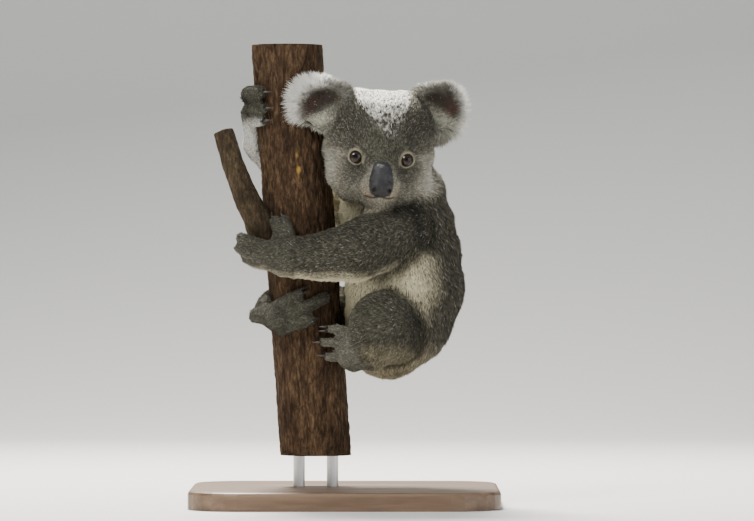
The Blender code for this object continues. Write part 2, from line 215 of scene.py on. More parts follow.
class Graph:
    """A new material whose nodes are added and joined by name."""

    def __init__(self, name, roughness=0.8, **shader_values):
        self.material = bpy.data.materials.new(name)
        self.material.use_nodes = True
        self.tree = self.material.node_tree
        self.shader = self.tree.nodes["Principled BSDF"]
        self.shader.inputs["Roughness"].default_value = roughness
        for key, value in shader_values.items():
            self.shader.inputs[key.replace("_", " ")].default_value = value

    def add(self, kind, inputs=None, **settings):
        node = self.tree.nodes.new("ShaderNode" + kind)
        for key, value in settings.items():
            setattr(node, key, value)
        for key, value in (inputs or {}).items():
            if isinstance(value, bpy.types.NodeSocket):
                self.tree.links.new(value, node.inputs[key])
            else:
                node.inputs[key].default_value = value
        return node

    def to_shader(self, socket, name="Base Color"):
        self.tree.links.new(socket, self.shader.inputs[name])

    def attribute(self, name, output="Fac"):
        return self.add("Attribute", attribute_name=name).outputs[output]

    def mix(self, factor, under, over, blend="MIX"):
        inputs = {"Factor": factor, "A": under, "B": over}
        return self.add("Mix", inputs, data_type="RGBA", blend_type=blend).outputs["Result"]

    def object_place(self, scale=(1, 1, 1), turn=(0, 0, 0)):
        place = self.add("TexCoord").outputs["Object"]
        return self.add("Mapping", {"Vector": place, "Scale": scale, "Rotation": turn}).outputs[0]

    def noise(self, place, scale, detail=3.0, rough=0.5):
        inputs = {"Vector": place, "Scale": scale, "Detail": detail, "Roughness": rough}
        return self.add("TexNoise", inputs).outputs["Fac"]

    def ramp(self, fac, *stops):
        node = self.add("ValToRGB", {"Fac": fac})
        elements = node.color_ramp.elements
        while len(elements) < len(stops):
            elements.new(0.5)
        for element, (position, colour) in zip(elements, stops):
            element.position = position
            element.color = (*colour, 1)
        return node.outputs["Color"]

    def bump(self, height, distance, strength=1.0):
        inputs = {"Height": height, "Distance": distance, "Strength": strength}
        self.to_shader(self.add("Bump", inputs).outputs["Normal"], "Normal")


# %% [markdown]
# The camera comes early, since everything is judged through it. The view is level, from far
# off with a long lens, so the near hand isn't enlarged. `VIEW_WIDTH` is how much it takes in
# at the koala.

# %% The camera
VIEW_WIDTH = 0.905
CAMERA_DISTANCE = 6.0
VIEW_CENTRE = Vector((0.0384, 0, 0.2934))
SENSOR_WIDTH = 36.0

camera_data = bpy.data.cameras.new("camera")
camera_data.sensor_width = SENSOR_WIDTH
camera_data.lens = SENSOR_WIDTH * CAMERA_DISTANCE / VIEW_WIDTH
camera = linked("camera", camera_data)
camera.location = VIEW_CENTRE - Vector((0, CAMERA_DISTANCE, 0))
camera.rotation_euler = (math.pi / 2, 0, 0)
bpy.context.scene.camera = camera
print("lens", round(camera_data.lens), "mm")

# %% [markdown]
# A studio sweep is a floor that curves up into a wall, so no horizon line shows. Its profile
# is a row of points that one extrusion turns into a sheet. From behind the wall is clear, so
# the koala's back can be looked at too.

# %% The floor sweep
SWEEP_FRONT, SWEEP_BACK, SWEEP_RADIUS = -16.0, 2.2, 1.6
SWEEP_HALF_WIDTH, SWEEP_HEIGHT = 12.0, 5.0
CURVE_STEPS = 16


def floor_sweep():
    bm = bmesh.new()
    profile = [(SWEEP_FRONT, 0.0)]
    for i in range(CURVE_STEPS + 1):
        angle = math.pi / 2 * i / CURVE_STEPS
        profile.append((
            SWEEP_BACK + SWEEP_RADIUS * math.sin(angle),
            SWEEP_RADIUS * (1 - math.cos(angle)),
        ))
    profile.append((SWEEP_BACK + SWEEP_RADIUS, SWEEP_HEIGHT))
    row = [bm.verts.new((-SWEEP_HALF_WIDTH, y, z)) for y, z in profile]
    rail = [bm.edges.new(pair) for pair in zip(row, row[1:])]
    grown = bmesh.ops.extrude_edge_only(bm, edges=rail)["geom"]
    far = [v for v in grown if isinstance(v, bmesh.types.BMVert)]
    bmesh.ops.translate(bm, verts=far, vec=(2 * SWEEP_HALF_WIDTH, 0, 0))
    bmesh.ops.recalc_face_normals(bm, faces=bm.faces)
    if min(bm.faces, key=lambda face: face.calc_center_median().z).normal.z < 0:
        bmesh.ops.reverse_faces(bm, faces=bm.faces)
    return mesh_of("floor", bm)


pale = Graph("studio_floor", roughness=0.9, Base_Color=(0.72, 0.72, 0.7, 1))
behind_wall = pale.add("NewGeometry").outputs["Backfacing"]
one_sided = pale.add("MixShader", {
    0: behind_wall, 1: pale.shader.outputs[0], 2: pale.add("BsdfTransparent").outputs[0],
})
pale.tree.links.new(one_sided.outputs[0], pale.tree.nodes["Material Output"].inputs["Surface"])
floor = linked("floor", floor_sweep())
floor.data.materials.append(pale.material)
floor.data.shade_smooth()
print("the floor's sweep has", len(floor.data.polygons), "strips")

# %% [markdown]
# Plain soft studio light: a broad key from the upper left, a weaker fill from the right, and
# a lamp high behind that edges the ears and crown.

# %% The lights


def area_light(name, place, aim, size, power, colour=(1, 1, 1)):
    data = bpy.data.lights.new(name, "AREA")
    data.size, data.energy, data.color = size, power, colour
    lamp = linked(name, data)
    lamp.location = place
    lamp.rotation_euler = (Vector(aim) - Vector(place)).to_track_quat("-Z", "Y").to_euler()


area_light("key", (-1.3, -1.9, 2.2), (0, 0, 0.3), 1.0, 74, (1, 0.98, 0.94))
area_light("fill", (1.9, -1.9, 0.7), (0, 0, 0.3), 1.8, 24)
area_light("back", (-0.3, 1.1, 2.1), (0, 0, 0.4), 0.7, 215, (1, 0.96, 0.88))
world = bpy.data.worlds.new("studio")
world.use_nodes = True
sky = world.node_tree.nodes["Background"].inputs
sky["Color"].default_value, sky["Strength"].default_value = (0.9, 0.94, 1, 1), 0.42
bpy.context.scene.world = world

# %% [markdown]
# The face has its own measures: from the point midway between the eyes, so far to the
# koala's left, so far forward, so far up. The eyes' places in the frame set its three axes.

# %% The face's axes


def middle_of(name):
    low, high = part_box(name)
    return (low + high) / 2


eye_places = {side: middle_of("eye_" + side) for side in ("right", "left")}
eye_radius = (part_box("eye_left")[1].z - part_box("eye_left")[0].z) / 2
between_eyes = (eye_places["left"] + eye_places["right"]) / 2
leftward = (eye_places["left"] - eye_places["right"]).normalized()
forward = -Vector((0, 0, 1)).cross(leftward).normalized()
upward = forward.cross(leftward)
if upward.z < 0:
    upward = -upward
FACE_AXES = np.array([leftward, forward, upward])


def face_place(points):
    """World points in the face's measures, as columns left, forward and up."""
    return (points - np.array(between_eyes)) @ FACE_AXES.T


def from_face(left, ahead, up):
    return between_eyes + leftward * left + forward * ahead + upward * up


nose_middle = middle_of("nose")
nose_in_face = face_place(np.array([nose_middle]))[0]
print("the nose's middle is at", np.round(nose_in_face / MM, 1), "mm from between the eyes")

# %% [markdown]
# ## One skin
#
# The flesh is modelled as separate solids that nearly touch. Copies of them, grown a little
# so that they overlap, are wrapped by a voxel remesh into one closed surface of even quads.
# That removes every seam at once, which joining them by hand would not.

# %% The hull of the whole body
SEAM = 0.5 * MM
HULL_VOXEL = 2.9 * MM
FLESH_KINDS = (
    "torso", "neck", "head", "ear", "upper_arm", "forearm", "hand", "thigh", "shin", "foot",
)
flesh = [n for n in sorted(nodes) if n.startswith(FLESH_KINDS)]
under_skin = flesh + ["eye_left", "eye_right", "nose"]
skin_mesh = voxelled("skin", [closed_copy(n, SEAM) for n in under_skin], HULL_VOXEL)
rounded(skin_mesh, 5)
print(len(flesh), "solids made one hull of", len(skin_mesh.polygons), "faces")

# %% [markdown]
# The eyelids, lips and digits need finer faces than the back does. Subdividing the edges
# around them gives that without refining the rest. The paws' new points are then laid back
# on the frame's solids, which brings the creases between the digits back, and smoothed once
# more, so that no facets of the solids are left.

# %% Finer faces on the face and paws
PAWS = ("hand_left", "hand_right", "foot_left", "foot_right")
PAW_REACH, SNAP_REACH = 1.6 * MM, 2.5 * MM
FINER = [  # middles and reach of the muzzle, the eyes and the mouth
    (from_face(0, 0.01, -0.02), 47 * MM), (eye_places["right"], 20 * MM),
    (eye_places["left"], 20 * MM), (from_face(0, 0.034, -0.046), 30 * MM),
]


def refine(mesh, inside):
    """Splits the edges whose middle passes the test."""
    bm = bmesh.new()
    bm.from_mesh(mesh)
    near = [e for e in bm.edges if inside((e.verts[0].co + e.verts[1].co) / 2)]
    bmesh.ops.subdivide_edges(bm, edges=near, cuts=1, use_grid_fill=True)
    bm.to_mesh(mesh)
    bm.free()


paw_trees = [surface_tree(nodes[name].data) for name in PAWS]
refine(skin_mesh, lambda place: any(t.find_nearest(place, PAW_REACH)[0] for t in paw_trees))
for middle, reach in FINER:
    refine(skin_mesh, lambda place: (place - middle).length < reach)
rounded(skin_mesh, 2)
snapped_points = points_of(skin_mesh)
for index, point in enumerate(snapped_points):
    for tree in paw_trees:
        place, normal, _, _ = tree.find_nearest(Vector(point), SNAP_REACH)
        if place:
            snapped_points[index] = place + normal * SEAM
paw_like = (np.linalg.norm(snapped_points - points_of(skin_mesh), axis=1) > 0)[:, None]
move_points(skin_mesh, snapped_points)
rounded(skin_mesh, 5)
move_points(skin_mesh, np.where(paw_like, points_of(skin_mesh), snapped_points))
rounded(skin_mesh, 1)
print(len(skin_mesh.polygons), "faces after refining")

# %% [markdown]
# Each point of the skin needs to know which part of the body it belongs to, because coat,
# colour and lie change from part to part. The nearest solid gives the part, and relaxing
# those yes-or-no values over the mesh turns hard borders into soft ones.

# %% Which part each point belongs to


def nearest_parts(points, names):
    """The index of the nearest named solid for each point."""
    corners, faces, owner = [], [], []
    for index, name in enumerate(names):
        mesh = nodes[name].data
        base = len(corners)
        corners += [v.co for v in mesh.vertices]
        faces += [[base + i for i in p.vertices] for p in mesh.polygons]
        owner += [index] * len(mesh.polygons)
    tree = BVHTree.FromPolygons(corners, faces)
    return np.array([owner[tree.find_nearest(Vector(p))[2]] for p in points])


skin_edges = edges_of(skin_mesh)
hull_points = points_of(skin_mesh)
part_index = nearest_parts(hull_points, flesh)
part_share = relaxed(np.eye(len(flesh))[part_index], skin_edges, 14)


def share_of(kind):
    """How much each skin point belongs to the parts of this kind, from 0 to 1."""
    return part_share[:, [n.startswith(kind) for n in flesh]].sum(1)


def blended(values):
    """A value or vector for each skin point, from one for each kind of part."""
    rows = []
    for name in flesh:
        kind = next(k for k in FLESH_KINDS if name.startswith(k))
        rows.append(values.get(name, values.get(kind)))
    return part_share @ np.array(rows, float)


print("parts found:", sorted(set(flesh[i] for i in part_index)) == flesh)

# %% [markdown]
# The hull runs out to the tips of the coat, so the skin lies inside it: deep under the long
# body fur, shallow on the face, hands and feet. An ear's skin is also drawn in from its rim,
# which leaves room for the long white fringe.

# %% From hull to skin
COAT_DEPTH = {  # mm
    "torso": 6.0, "neck": 6.0, "head": 4.2, "ear": 3.4, "upper_arm": 5.0, "forearm": 4.0,
    "hand": 1.2, "thigh": 5.0, "shin": 3.8, "foot": 1.0,
}
MUZZLE_DEPTH = 1.4
EAR_DRAW = 0.2  # how far the rim is drawn in, as a share of its distance from the middle
MUZZLE_MIDDLE, MUZZLE_SPREAD = np.array([0, 0.022, -0.026]), np.array([1.25, 1.0, 1.0])

face_hull = face_place(hull_points)
muzzle_away = np.linalg.norm((face_hull - MUZZLE_MIDDLE) / MUZZLE_SPREAD, axis=1)
depth = blended(COAT_DEPTH)
on_muzzle = share_of("head") * (1 - step(0.018, 0.058, muzzle_away))
depth = depth + (MUZZLE_DEPTH - depth) * on_muzzle
skin_points = hull_points - normals_of(skin_mesh) * depth[:, None] * MM

head_tree = surface_tree(nodes["head"].data)
ear_middle = {}
for side in ("left", "right"):
    ear_middle[side] = np.array(middle_of("ear_" + side))
    share = part_share[:, flesh.index("ear_" + side)]
    chosen = np.flatnonzero(share > 0.05)
    from_head = np.array([head_tree.find_nearest(Vector(p))[3] for p in hull_points[chosen]])
    weight = step(0.004, 0.022, from_head) * share[chosen]
    skin_points[chosen] += (ear_middle[side] - skin_points[chosen]) * (
        EAR_DRAW * weight[:, None] * np.array([1, 0, 1])
    )
skin_points = relaxed(skin_points, skin_edges, 2, 0.5)
print("skin lies", round(depth.min(), 1), "to", round(depth.max(), 1), "mm inside the hull")

# %% [markdown]
# ## The face
#
# An eyelid is the skin stretched over the eyeball, with a round opening. Each point near an
# eye is set by its angle from the way the eye looks: inside the opening it drops behind the
# ball, at the rim it stands a lid's thickness proud, and further out it eases back into the
# face. Points close to the rim's angle are moved onto it, so that the edge is clean.

# %% Eyelids
EYE_OUTWARD = 6  # degrees that each eye looks away from straight ahead
LID_OPEN = (40, 45)  # half the opening's short and long way, in degrees from the gaze
LID_LEAN = math.radians(62)  # the long way's slope, rising outward
EYE_CORNER, EYE_CORNER_AT = 6, math.radians(232)  # how far the inner corner reaches, and where
LID_THICKNESS = 0.9 * MM
LID_END = 92  # degrees from the gaze where the lid has eased into the face
LID_REACH = (14 * MM, 23 * MM)  # what lies further from the eye's middle stays as it is
LID_SNAP = 3.0  # degrees from the opening's edge within which points are moved onto it
BEHIND = 0.72  # of the eye's radius, for the skin inside the opening

gaze = {}
eye_angle = np.full(len(skin_points), 180.0)
eye_opening = np.full(len(skin_points), 45.0)
above_eye = np.zeros(len(skin_points))
for side, way in (("left", 1), ("right", -1)):
    turn = math.radians(EYE_OUTWARD) * way
    gaze[side] = (forward * math.cos(turn) + leftward * math.sin(turn)).normalized()
    ahead = np.array(gaze[side])
    across = np.array(upward.cross(gaze[side]).normalized()) * way
    rise = np.cross(ahead, across) * way
    centre = np.array(eye_places[side])
    reach = skin_points - centre
    distance = np.linalg.norm(reach, axis=1)
    angle = np.degrees(np.arccos(np.clip(unit(reach) @ ahead, -1, 1)))
    bearing = np.arctan2(reach @ rise, reach @ across)
    opening = 1 / np.sqrt((np.sin(bearing - LID_LEAN) / LID_OPEN[0]) ** 2
                          + (np.cos(bearing - LID_LEAN) / LID_OPEN[1]) ** 2)
    opening += EYE_CORNER * np.exp(8 * (np.cos(bearing - EYE_CORNER_AT) - 1))
    held = 1 - step(*LID_REACH, distance)
    near = (held > 0) & (angle < LID_END)
    snapped = np.where(np.abs(angle - opening) < LID_SNAP * held, opening, angle)
    past = snapped - opening
    lid = eye_radius + LID_THICKNESS * (0.45 + 0.55 * step(0, 9, past))
    ease = 1 - step(14, LID_END - 46, past)
    outer = np.maximum(distance, lid)
    wanted = np.where(past < -0.01, eye_radius * BEHIND, outer + (lid - outer) * ease)
    wanted = distance + (wanted - distance) * held
    turned = np.radians(snapped)[:, None]
    sideways = unit(reach - (reach @ ahead)[:, None] * ahead)
    placed = centre + wanted[:, None] * (np.cos(turned) * ahead + np.sin(turned) * sideways)
    skin_points[near] = placed[near]
    closer = near & (angle < eye_angle)
    eye_angle[closer] = angle[closer]
    eye_opening[closer] = opening[closer]
    above_eye[closer] = np.sin(bearing[closer])
past_lid = eye_angle - eye_opening
eye_away = np.min([
    np.linalg.norm(skin_points - np.array(place), axis=1) for place in eye_places.values()
], 0)
loose_skin = step(3, 12, past_lid) * (1 - step(20 * MM, 28 * MM, eye_away))
evened = relaxed(skin_points, skin_edges, 10)
skin_points += (evened - skin_points) * loose_skin[:, None]
print((past_lid < 0).sum(), "points dropped behind the eyes")

# %% [markdown]
# The mouth is a shallow groove that runs from under the nose down and out to two corners.
# The points along it are pushed in, and the lips on both sides swell a little.

# %% Mouth
MOUTH_HALF_WIDTH = 20 * MM
MOUTH_TOP, MOUTH_CORNER, MOUTH_DIP = -44.5 * MM, -43.5 * MM, 2.4 * MM
GROOVE_DEPTH, LIP_SWELL = 2.4, 0.7  # mm
face_skin = face_place(skin_points)


def mouth_line(left):
    """The height of the mouth at this far from the middle."""
    share = np.clip(np.abs(left) / MOUTH_HALF_WIDTH, 0, 1)
    return MOUTH_TOP + (MOUTH_CORNER - MOUTH_TOP) * share - MOUTH_DIP * np.sin(np.pi * share)


mouth_gap = face_skin[:, 2] - mouth_line(face_skin[:, 0])
on_front = step(0.006, 0.016, face_skin[:, 1])
within = 1 - step(MOUTH_HALF_WIDTH * 0.82, MOUTH_HALF_WIDTH * 1.05, np.abs(face_skin[:, 0]))
groove = np.exp(-(mouth_gap / (1.0 * MM)) ** 2) * on_front * within
lips = np.exp(-(mouth_gap / (3.4 * MM)) ** 2) * on_front * within
inward = -np.array(forward)
skin_points += inward * (GROOVE_DEPTH * groove - LIP_SWELL * lips)[:, None] * MM
print((groove > 0.5).sum(), "points in the mouth's groove")

# %% [markdown]
# The nose is a tall leathery pad, like a rounded oblong from in front. It starts from the
# frame's solid, remeshed finely. Each height's width is scaled to the pad's outline, and two
# comma-shaped nostrils are pressed into its lower corners.

# %% Nose
NOSE_VOXEL = 0.7 * MM
NOSE_HALF_WIDTH, NOSE_SQUARE, NOSE_TAPER = 13.8 * MM, 3.7, 0.12
NOSE_DROP = 1.2 * MM
NOSE_BANDS = 14  # levels from the middle to the top at which the width is measured
NOSTRIL = (9.2 * MM, -13.5 * MM)  # out and up from the pad's middle
NOSTRIL_SIZE, NOSTRIL_DEPTH = (2.2 * MM, 3.1 * MM), 5.0 * MM

nose_mesh = voxelled("nose_pad", [closed_copy("nose")], NOSE_VOXEL)
rounded(nose_mesh, 8)
nose_points = points_of(nose_mesh)
pad = face_place(nose_points) - nose_in_face
nose_half_height = np.abs(pad[:, 2]).max()
height_share = pad[:, 2] / nose_half_height
band = np.round(height_share * NOSE_BANDS).astype(int)
levels = np.unique(band)
found = np.array([np.abs(pad[band == level, 0]).max() for level in levels])
found = np.interp(height_share * NOSE_BANDS, levels, found)
outline = (1 - np.minimum(np.abs(height_share), 0.995) ** NOSE_SQUARE) ** (1 / NOSE_SQUARE)
outline *= NOSE_HALF_WIDTH * (1 - NOSE_TAPER * np.maximum(height_share, 0))
nose_points += np.array(leftward) * (pad[:, 0] * (outline / found - 1))[:, None]
nose_points -= np.array(upward) * NOSE_DROP
pad = face_place(nose_points) - nose_in_face
nostril = np.zeros(len(pad))
for way in (-1, 1):
    lean = pad[:, 0] * way - NOSTRIL[0] + 0.35 * (pad[:, 2] - NOSTRIL[1])
    rise = pad[:, 2] - NOSTRIL[1]
    nostril += np.exp(-(lean / NOSTRIL_SIZE[0]) ** 2 - (rise / NOSTRIL_SIZE[1]) ** 2)
nostril *= step(-2 * MM, 4 * MM, pad[:, 1])
philtrum = np.exp(-(pad[:, 0] / (0.9 * MM)) ** 2) * (1 - step(-0.014, -0.006, pad[:, 2]))
nose_points += inward * (nostril * NOSTRIL_DEPTH + philtrum * 0.8 * MM)[:, None]
move_points(nose_mesh, nose_points)
rounded(nose_mesh, 2)
print("nose pad", round(nose_half_height * 2 / MM), "mm tall")

# %% [markdown]
# The skin around the pad is laid behind its front, so none shows through the nostrils.

# %% The skin behind the nose
NOSE_COVER = 1.5 * MM
pad_tree = surface_tree(nose_mesh)
pad_away = np.full(len(skin_points), 1.0)
for index in np.flatnonzero(np.linalg.norm(skin_points - np.array(nose_middle), axis=1) < 0.04):
    place = Vector(skin_points[index])
    pad_away[index] = pad_tree.find_nearest(place)[3]
    front = pad_tree.ray_cast(place + forward * 0.05, -forward, 0.1)[0]
    if front and (place - front).dot(forward) > -NOSE_COVER:
        skin_points[index] = np.array(front - forward * NOSE_COVER)
move_points(skin_mesh, skin_points)
skin_normals = normals_of(skin_mesh)
print((pad_away < 3 * MM).sum(), "points beside or behind the pad")

# %% [markdown]
# Nose leather is dark, finely pebbled and only a little shiny. Its nostrils and lower part
# are painted darker as shade, by an amount that an attribute tells the material.

# %% Nose leather
leather = Graph("nose_leather", roughness=0.55, Specular_IOR_Level=0.3)
leather_place = leather.object_place()
pebbles = leather.add("TexVoronoi", {"Vector": leather_place, "Scale": 1500.0})
mottle = leather.noise(leather_place, 160.0)
shade = leather.ramp(mottle, (0.3, (0.016, 0.016, 0.018)), (0.7, (0.034, 0.034, 0.038)))
# Near-black mixed in by an attribute: painted shade in the nostrils and low on the pad.
leather.to_shader(leather.mix(leather.attribute("hollow_and_shade"), shade, (0.006, 0.005, 0.005, 1)))
leather.bump(pebbles.outputs["Distance"], 0.0002, 0.6)
# Painted shade: the nostrils, and the lower part of the pad, which faces down.
shaded = np.maximum(nostril * 1.4, 0.55 * step(0.3, -0.8, height_share))
store(nose_mesh, "hollow_and_shade", np.clip(shaded, 0, 1))
piece("nose_pad", nose_mesh, leather.material, "nose_leather", "nose")

# %% [markdown]
# An eye is one glossy ball. Rings around the way it looks give the pupil, the brown iris with
# its darker rim, and the little of the white that shows. A clear coat makes it look wet.

# %% Eyes
PUPIL, IRIS, RIM = 20.0, 47.0, 53.0  # degrees from the gaze
eye_glaze = Graph(
    "eye_glaze", roughness=0.3, Coat_Weight=0.6, Coat_Roughness=0.03, Specular_IOR_Level=0.0,
)
flecks = eye_glaze.noise(eye_glaze.object_place(), 900.0, 4.0)
wavy = eye_glaze.add("Math", {0: flecks, 1: 0.06}, operation="MULTIPLY").outputs[0]
ring = eye_glaze.add("Math", {0: eye_glaze.attribute("gaze_angle"), 1: wavy}, operation="ADD")
eye_glaze.to_shader(eye_glaze.ramp(
    ring.outputs[0],
    (0.0, (0.002, 0.002, 0.002)), (PUPIL / 90, (0.003, 0.002, 0.002)),
    (PUPIL / 90 + 0.04, (0.026, 0.015, 0.008)), (IRIS / 90 - 0.14, (0.02, 0.012, 0.007)),
    (IRIS / 90, (0.008, 0.005, 0.004)), (RIM / 90, (0.05, 0.032, 0.024)),
))

for side in ("left", "right"):
    bm = bmesh.new()
    bmesh.ops.create_uvsphere(bm, u_segments=48, v_segments=32, radius=eye_radius)
    lean = gaze[side].to_track_quat("Z", "Y").to_matrix().to_4x4()
    bm.transform(Matrix.Translation(eye_places[side]) @ lean)
    eye_mesh = mesh_of("eyeball_" + side, bm)
    way = unit(points_of(eye_mesh) - np.array(eye_places[side])) @ np.array(gaze[side])
    store(eye_mesh, "gaze_angle", np.degrees(np.arccos(np.clip(way, -1, 1))) / 90)
    piece("eyeball_" + side, eye_mesh, eye_glaze.material, "eye_brown", "eye_" + side)

# %% [markdown]
# ## Markings
#
# A koala is salt-and-pepper grey above and cream below: throat, chest, armpits, the inner
# side of the limbs and the rump. Skin and coat take their colour from one function of the
# place on the body, so they always agree. It mixes a few named colours by soft masks.

# %% Colours of the coat
GREY = np.array((0.086, 0.081, 0.061))
ARM_GREY = np.array((0.079, 0.074, 0.056))
# The body's grey, darker than the head's: partly the coat's own tone, partly painted shade.
BACK_GREY_AND_SHADE = np.array((0.07, 0.065, 0.051))
PAW_GREY = np.array((0.098, 0.093, 0.071))
TOE_GREY = np.array((0.16, 0.152, 0.12))
CREAM = np.array((0.82, 0.75, 0.53))
# Cream fur darkened to tan: painted shade, laid on the rump and on the legs' undersides.
SHADED_CREAM = np.array((0.25, 0.225, 0.15))
WHITE = np.array((0.9, 0.88, 0.82))
CHEEK = np.array((0.3, 0.28, 0.22))
EYE_SHADE = np.array((0.06, 0.054, 0.042))
# The ears' hollows: brown fur darkened as painted shade.
EAR_SHADED_BROWN = np.array((0.04, 0.026, 0.018))
EAR_RED = np.array((0.066, 0.034, 0.024))
EAR_PALE = np.array((0.42, 0.41, 0.33))
LIP = np.array((0.1, 0.068, 0.05))
LIP_TAN = np.array((0.34, 0.23, 0.15))
FOLD_SHADE = 0.5
SHOULDER_FOLD = (0.088, 0.338)  # x and z of the middle of the fold behind the near upper arm
BELLY_EDGE = [(0.17, 0.075), (0.23, 0.085), (0.26, 0.1), (0.3, 0.095), (0.34, 0.045),
              (0.38, 0.03)]  # height, and how far back the cream reaches there, in metres


# %% [markdown]
# Body and head are painted in turn, each as a list of colours with the mask that says where
# that colour lies. Distances are in metres, on the face from the point between the eyes.

# %% Markings of the body


def mixed(under, over, mask):
    return under + (over - under) * np.clip(mask, 0, 1)[:, None]


def layered(colour, *layers):
    """Lays colours over one another, each by its mask."""
    for over, mask in layers:
        colour = mixed(colour, over, mask)
    return colour


def body_colour(points, normals, share):
    """Cream belly and armpit, back a darker grey partly by painted shade, pale undersides of the
    limbs, rump and leg undersides cream darkened as painted shade.
    """
    x, _, z = points.T
    down = -normals[:, 2]
    body = share("torso") + share("neck")
    belly = 1 - step(-0.026, 0.026, x - np.interp(z, *np.array(BELLY_EDGE).T))
    rump = (1 - step(0.17, 0.205, z)) * step(0.02, 0.06, x)
    arms = share("upper_arm") + share("forearm")
    underside = arms + 0.7 * share("hand_left")
    legs = share("thigh") + share("shin")
    far_hand = share("forearm_right") + share("hand_right")
    inner = (far_hand * step(-0.5, 0.1, -normals[:, 0]) * step(-0.75, -0.15, -normals[:, 1])
             * step(0.35, 0.39, z) * (1 - step(0.45, 0.468, z)))
    far_limbs = (share("upper_arm_right") + share("forearm_right") + share("thigh_right")
                 + share("shin_right"))
    return layered(
        np.tile(GREY, (len(points), 1)),
        # the body's darker grey: partly painted shade
        (BACK_GREY_AND_SHADE, body),
        (CREAM, body * belly * (0.55 + 0.45 * step(0.2, 0.25, z))),
        # rump: cream darkened as painted shade
        (SHADED_CREAM, body * rump),
        (ARM_GREY, arms + share("thigh") * 0.15),
        (CREAM, 0.9 * underside * step(0.64, 1.0, down)),
        (CREAM * 0.8, 0.85 * far_limbs * step(0.3, 0.8, -normals[:, 1])),
        # legs' undersides: cream darkened as painted shade
        (SHADED_CREAM, 0.8 * legs * step(0.4, 0.85, down)),
        (PAW_GREY, share("hand") * 0.4 + share("foot")),
        (TOE_GREY, share("foot_left") * step(-0.11, -0.085, x)),
        (WHITE, 0.95 * inner),
    )


# %% [markdown]
# A koala's face is paler at the cheeks and muzzle, and darker at the brow and under the eyes.
# Each area is a soft-edged distance in the face's own measures, so it turns with the head.

# %% Markings of the head


def with_head(colour, points, head):
    """Pale cheeks and muzzle, dark round the eyes."""
    left, ahead, up = face_place(points).T
    side = np.abs(left)
    nape = (1 - step(-0.05, -0.02, ahead)) * (1 - step(0.0, 0.04, up))
    cheek = step(0.03, 0.052, side) * (1 - step(0.012, 0.04, up)) * step(-0.05, -0.025, ahead)
    low = 1 - step(-0.03, -0.008, up)
    jowl = step(0.044, 0.062, side) * (1 - step(-0.012, 0.016, up)) * step(-0.045, -0.02, ahead)
    brow = step(0.022, 0.034, side) * (1 - step(0.054, 0.068, side))
    brow *= step(0.004, 0.014, up) * (1 - step(0.045, 0.065, up))
    under_eye = np.hypot(side - 0.033, (up + 0.016) / 1.2)
    patch = (1 - step(0.008, 0.02, under_eye)) * step(-0.01, 0.005, ahead)
    muzzle = np.hypot(left / 1.15, up + 0.036) - 0.021
    pale = (1 - step(0.0, 0.013, muzzle)) * step(0.01, 0.02, ahead)
    lower_lip = np.exp(-(((side - 0.021) / 0.009) ** 2) - ((up + 0.047) / 0.009) ** 2)
    return layered(
        colour,
        # the nape takes the body's darker grey, partly painted shade
        (BACK_GREY_AND_SHADE, head * nape),
        (CHEEK, head * np.maximum(cheek, 0.45 * low)),
        (WHITE * 0.62, 0.55 * head ** 3 * jowl),
        (EYE_SHADE, 0.7 * head * brow),
        (EYE_SHADE, 0.6 * head * patch),
        (CHEEK * 1.15, 0.8 * head * pale),
        (LIP_TAN, head * lower_lip * step(0.01, 0.02, ahead)),
        (CREAM, 0.9 * head * (1 - step(-0.072, -0.054, up))),
    )


# %% [markdown]
# Fur lies in deep shade where a limb leaves the body. Tufts are too few to shut the light
# out there as real fur does, so the coat's own colour is made darker in these folds.

# %% Folds, and all markings together


def fold_shade(points, share):
    """How much darker the folds are where a limb leaves the body."""
    x, y, z = points.T
    shoulder = 4 * share("torso") * share("upper_arm")
    groin = 4 * share("torso") * share("thigh")
    off = (x - SHOULDER_FOLD[0] + 0.22 * (z - SHOULDER_FOLD[1])) / 0.009
    behind_arm = np.exp(-off ** 2) * (y < 0) * step(0.3, 0.32, z) * (1 - step(0.355, 0.375, z))
    shade = np.maximum(FOLD_SHADE * step(0.25, 1.0, shoulder), 0.6 * behind_arm)
    return np.maximum(shade, 0.62 * step(0.1, 0.7, groin))


def markings(points, normals, share):
    """The coat's colour at places on the body. share gives the masks for kinds of part."""
    colour = with_head(body_colour(points, normals, share), points, share("head"))
    return colour * (1 - fold_shade(points, share))[:, None]


print("cream is", round(float(CREAM.sum() / GREY.sum()), 1), "times as light as grey")

# %% [markdown]
# White-tipped hairs lie among the grey ones. They're few on the arms and back, and thick on
# the crown, from where they run down the forehead in a wedge. There the white is partly real
# tips and partly a painted highlight.

# %% White-tipped hairs
# The crown's wedge of white tips, in the face's measures: partly real tips, partly a painted
# highlight.
WEDGE_UP = np.array((16, 29, 44, 59, 80)) * MM
WEDGE_HALF = np.array((3, 8, 17, 27, 36)) * MM
WEDGE_MIDDLE = np.array((7, 7, 5, 1, -2)) * MM


def frosting(points, share):
    """The chance that a tuft is white-tipped."""
    left, ahead, up = face_place(points).T
    past_edge = np.abs(left - np.interp(up, WEDGE_UP, WEDGE_MIDDLE))
    past_edge -= np.interp(up, WEDGE_UP, WEDGE_HALF)
    wedge = (1 - step(-0.006, 0.006, past_edge)) * step(0.012, 0.03, up)
    # On the crown the white is partly a painted highlight.
    crown_white_and_highlight = wedge * (0.35 + 0.55 * step(0.03, 0.07, up)) * step(-0.072, -0.042, ahead)
    return 0.018 + share("head") * (0.04 + crown_white_and_highlight)


frost = frosting(skin_points, share_of)
print("white-tipped share:", round(float(frost.min()), 2), "to", round(float(frost.max()), 2))
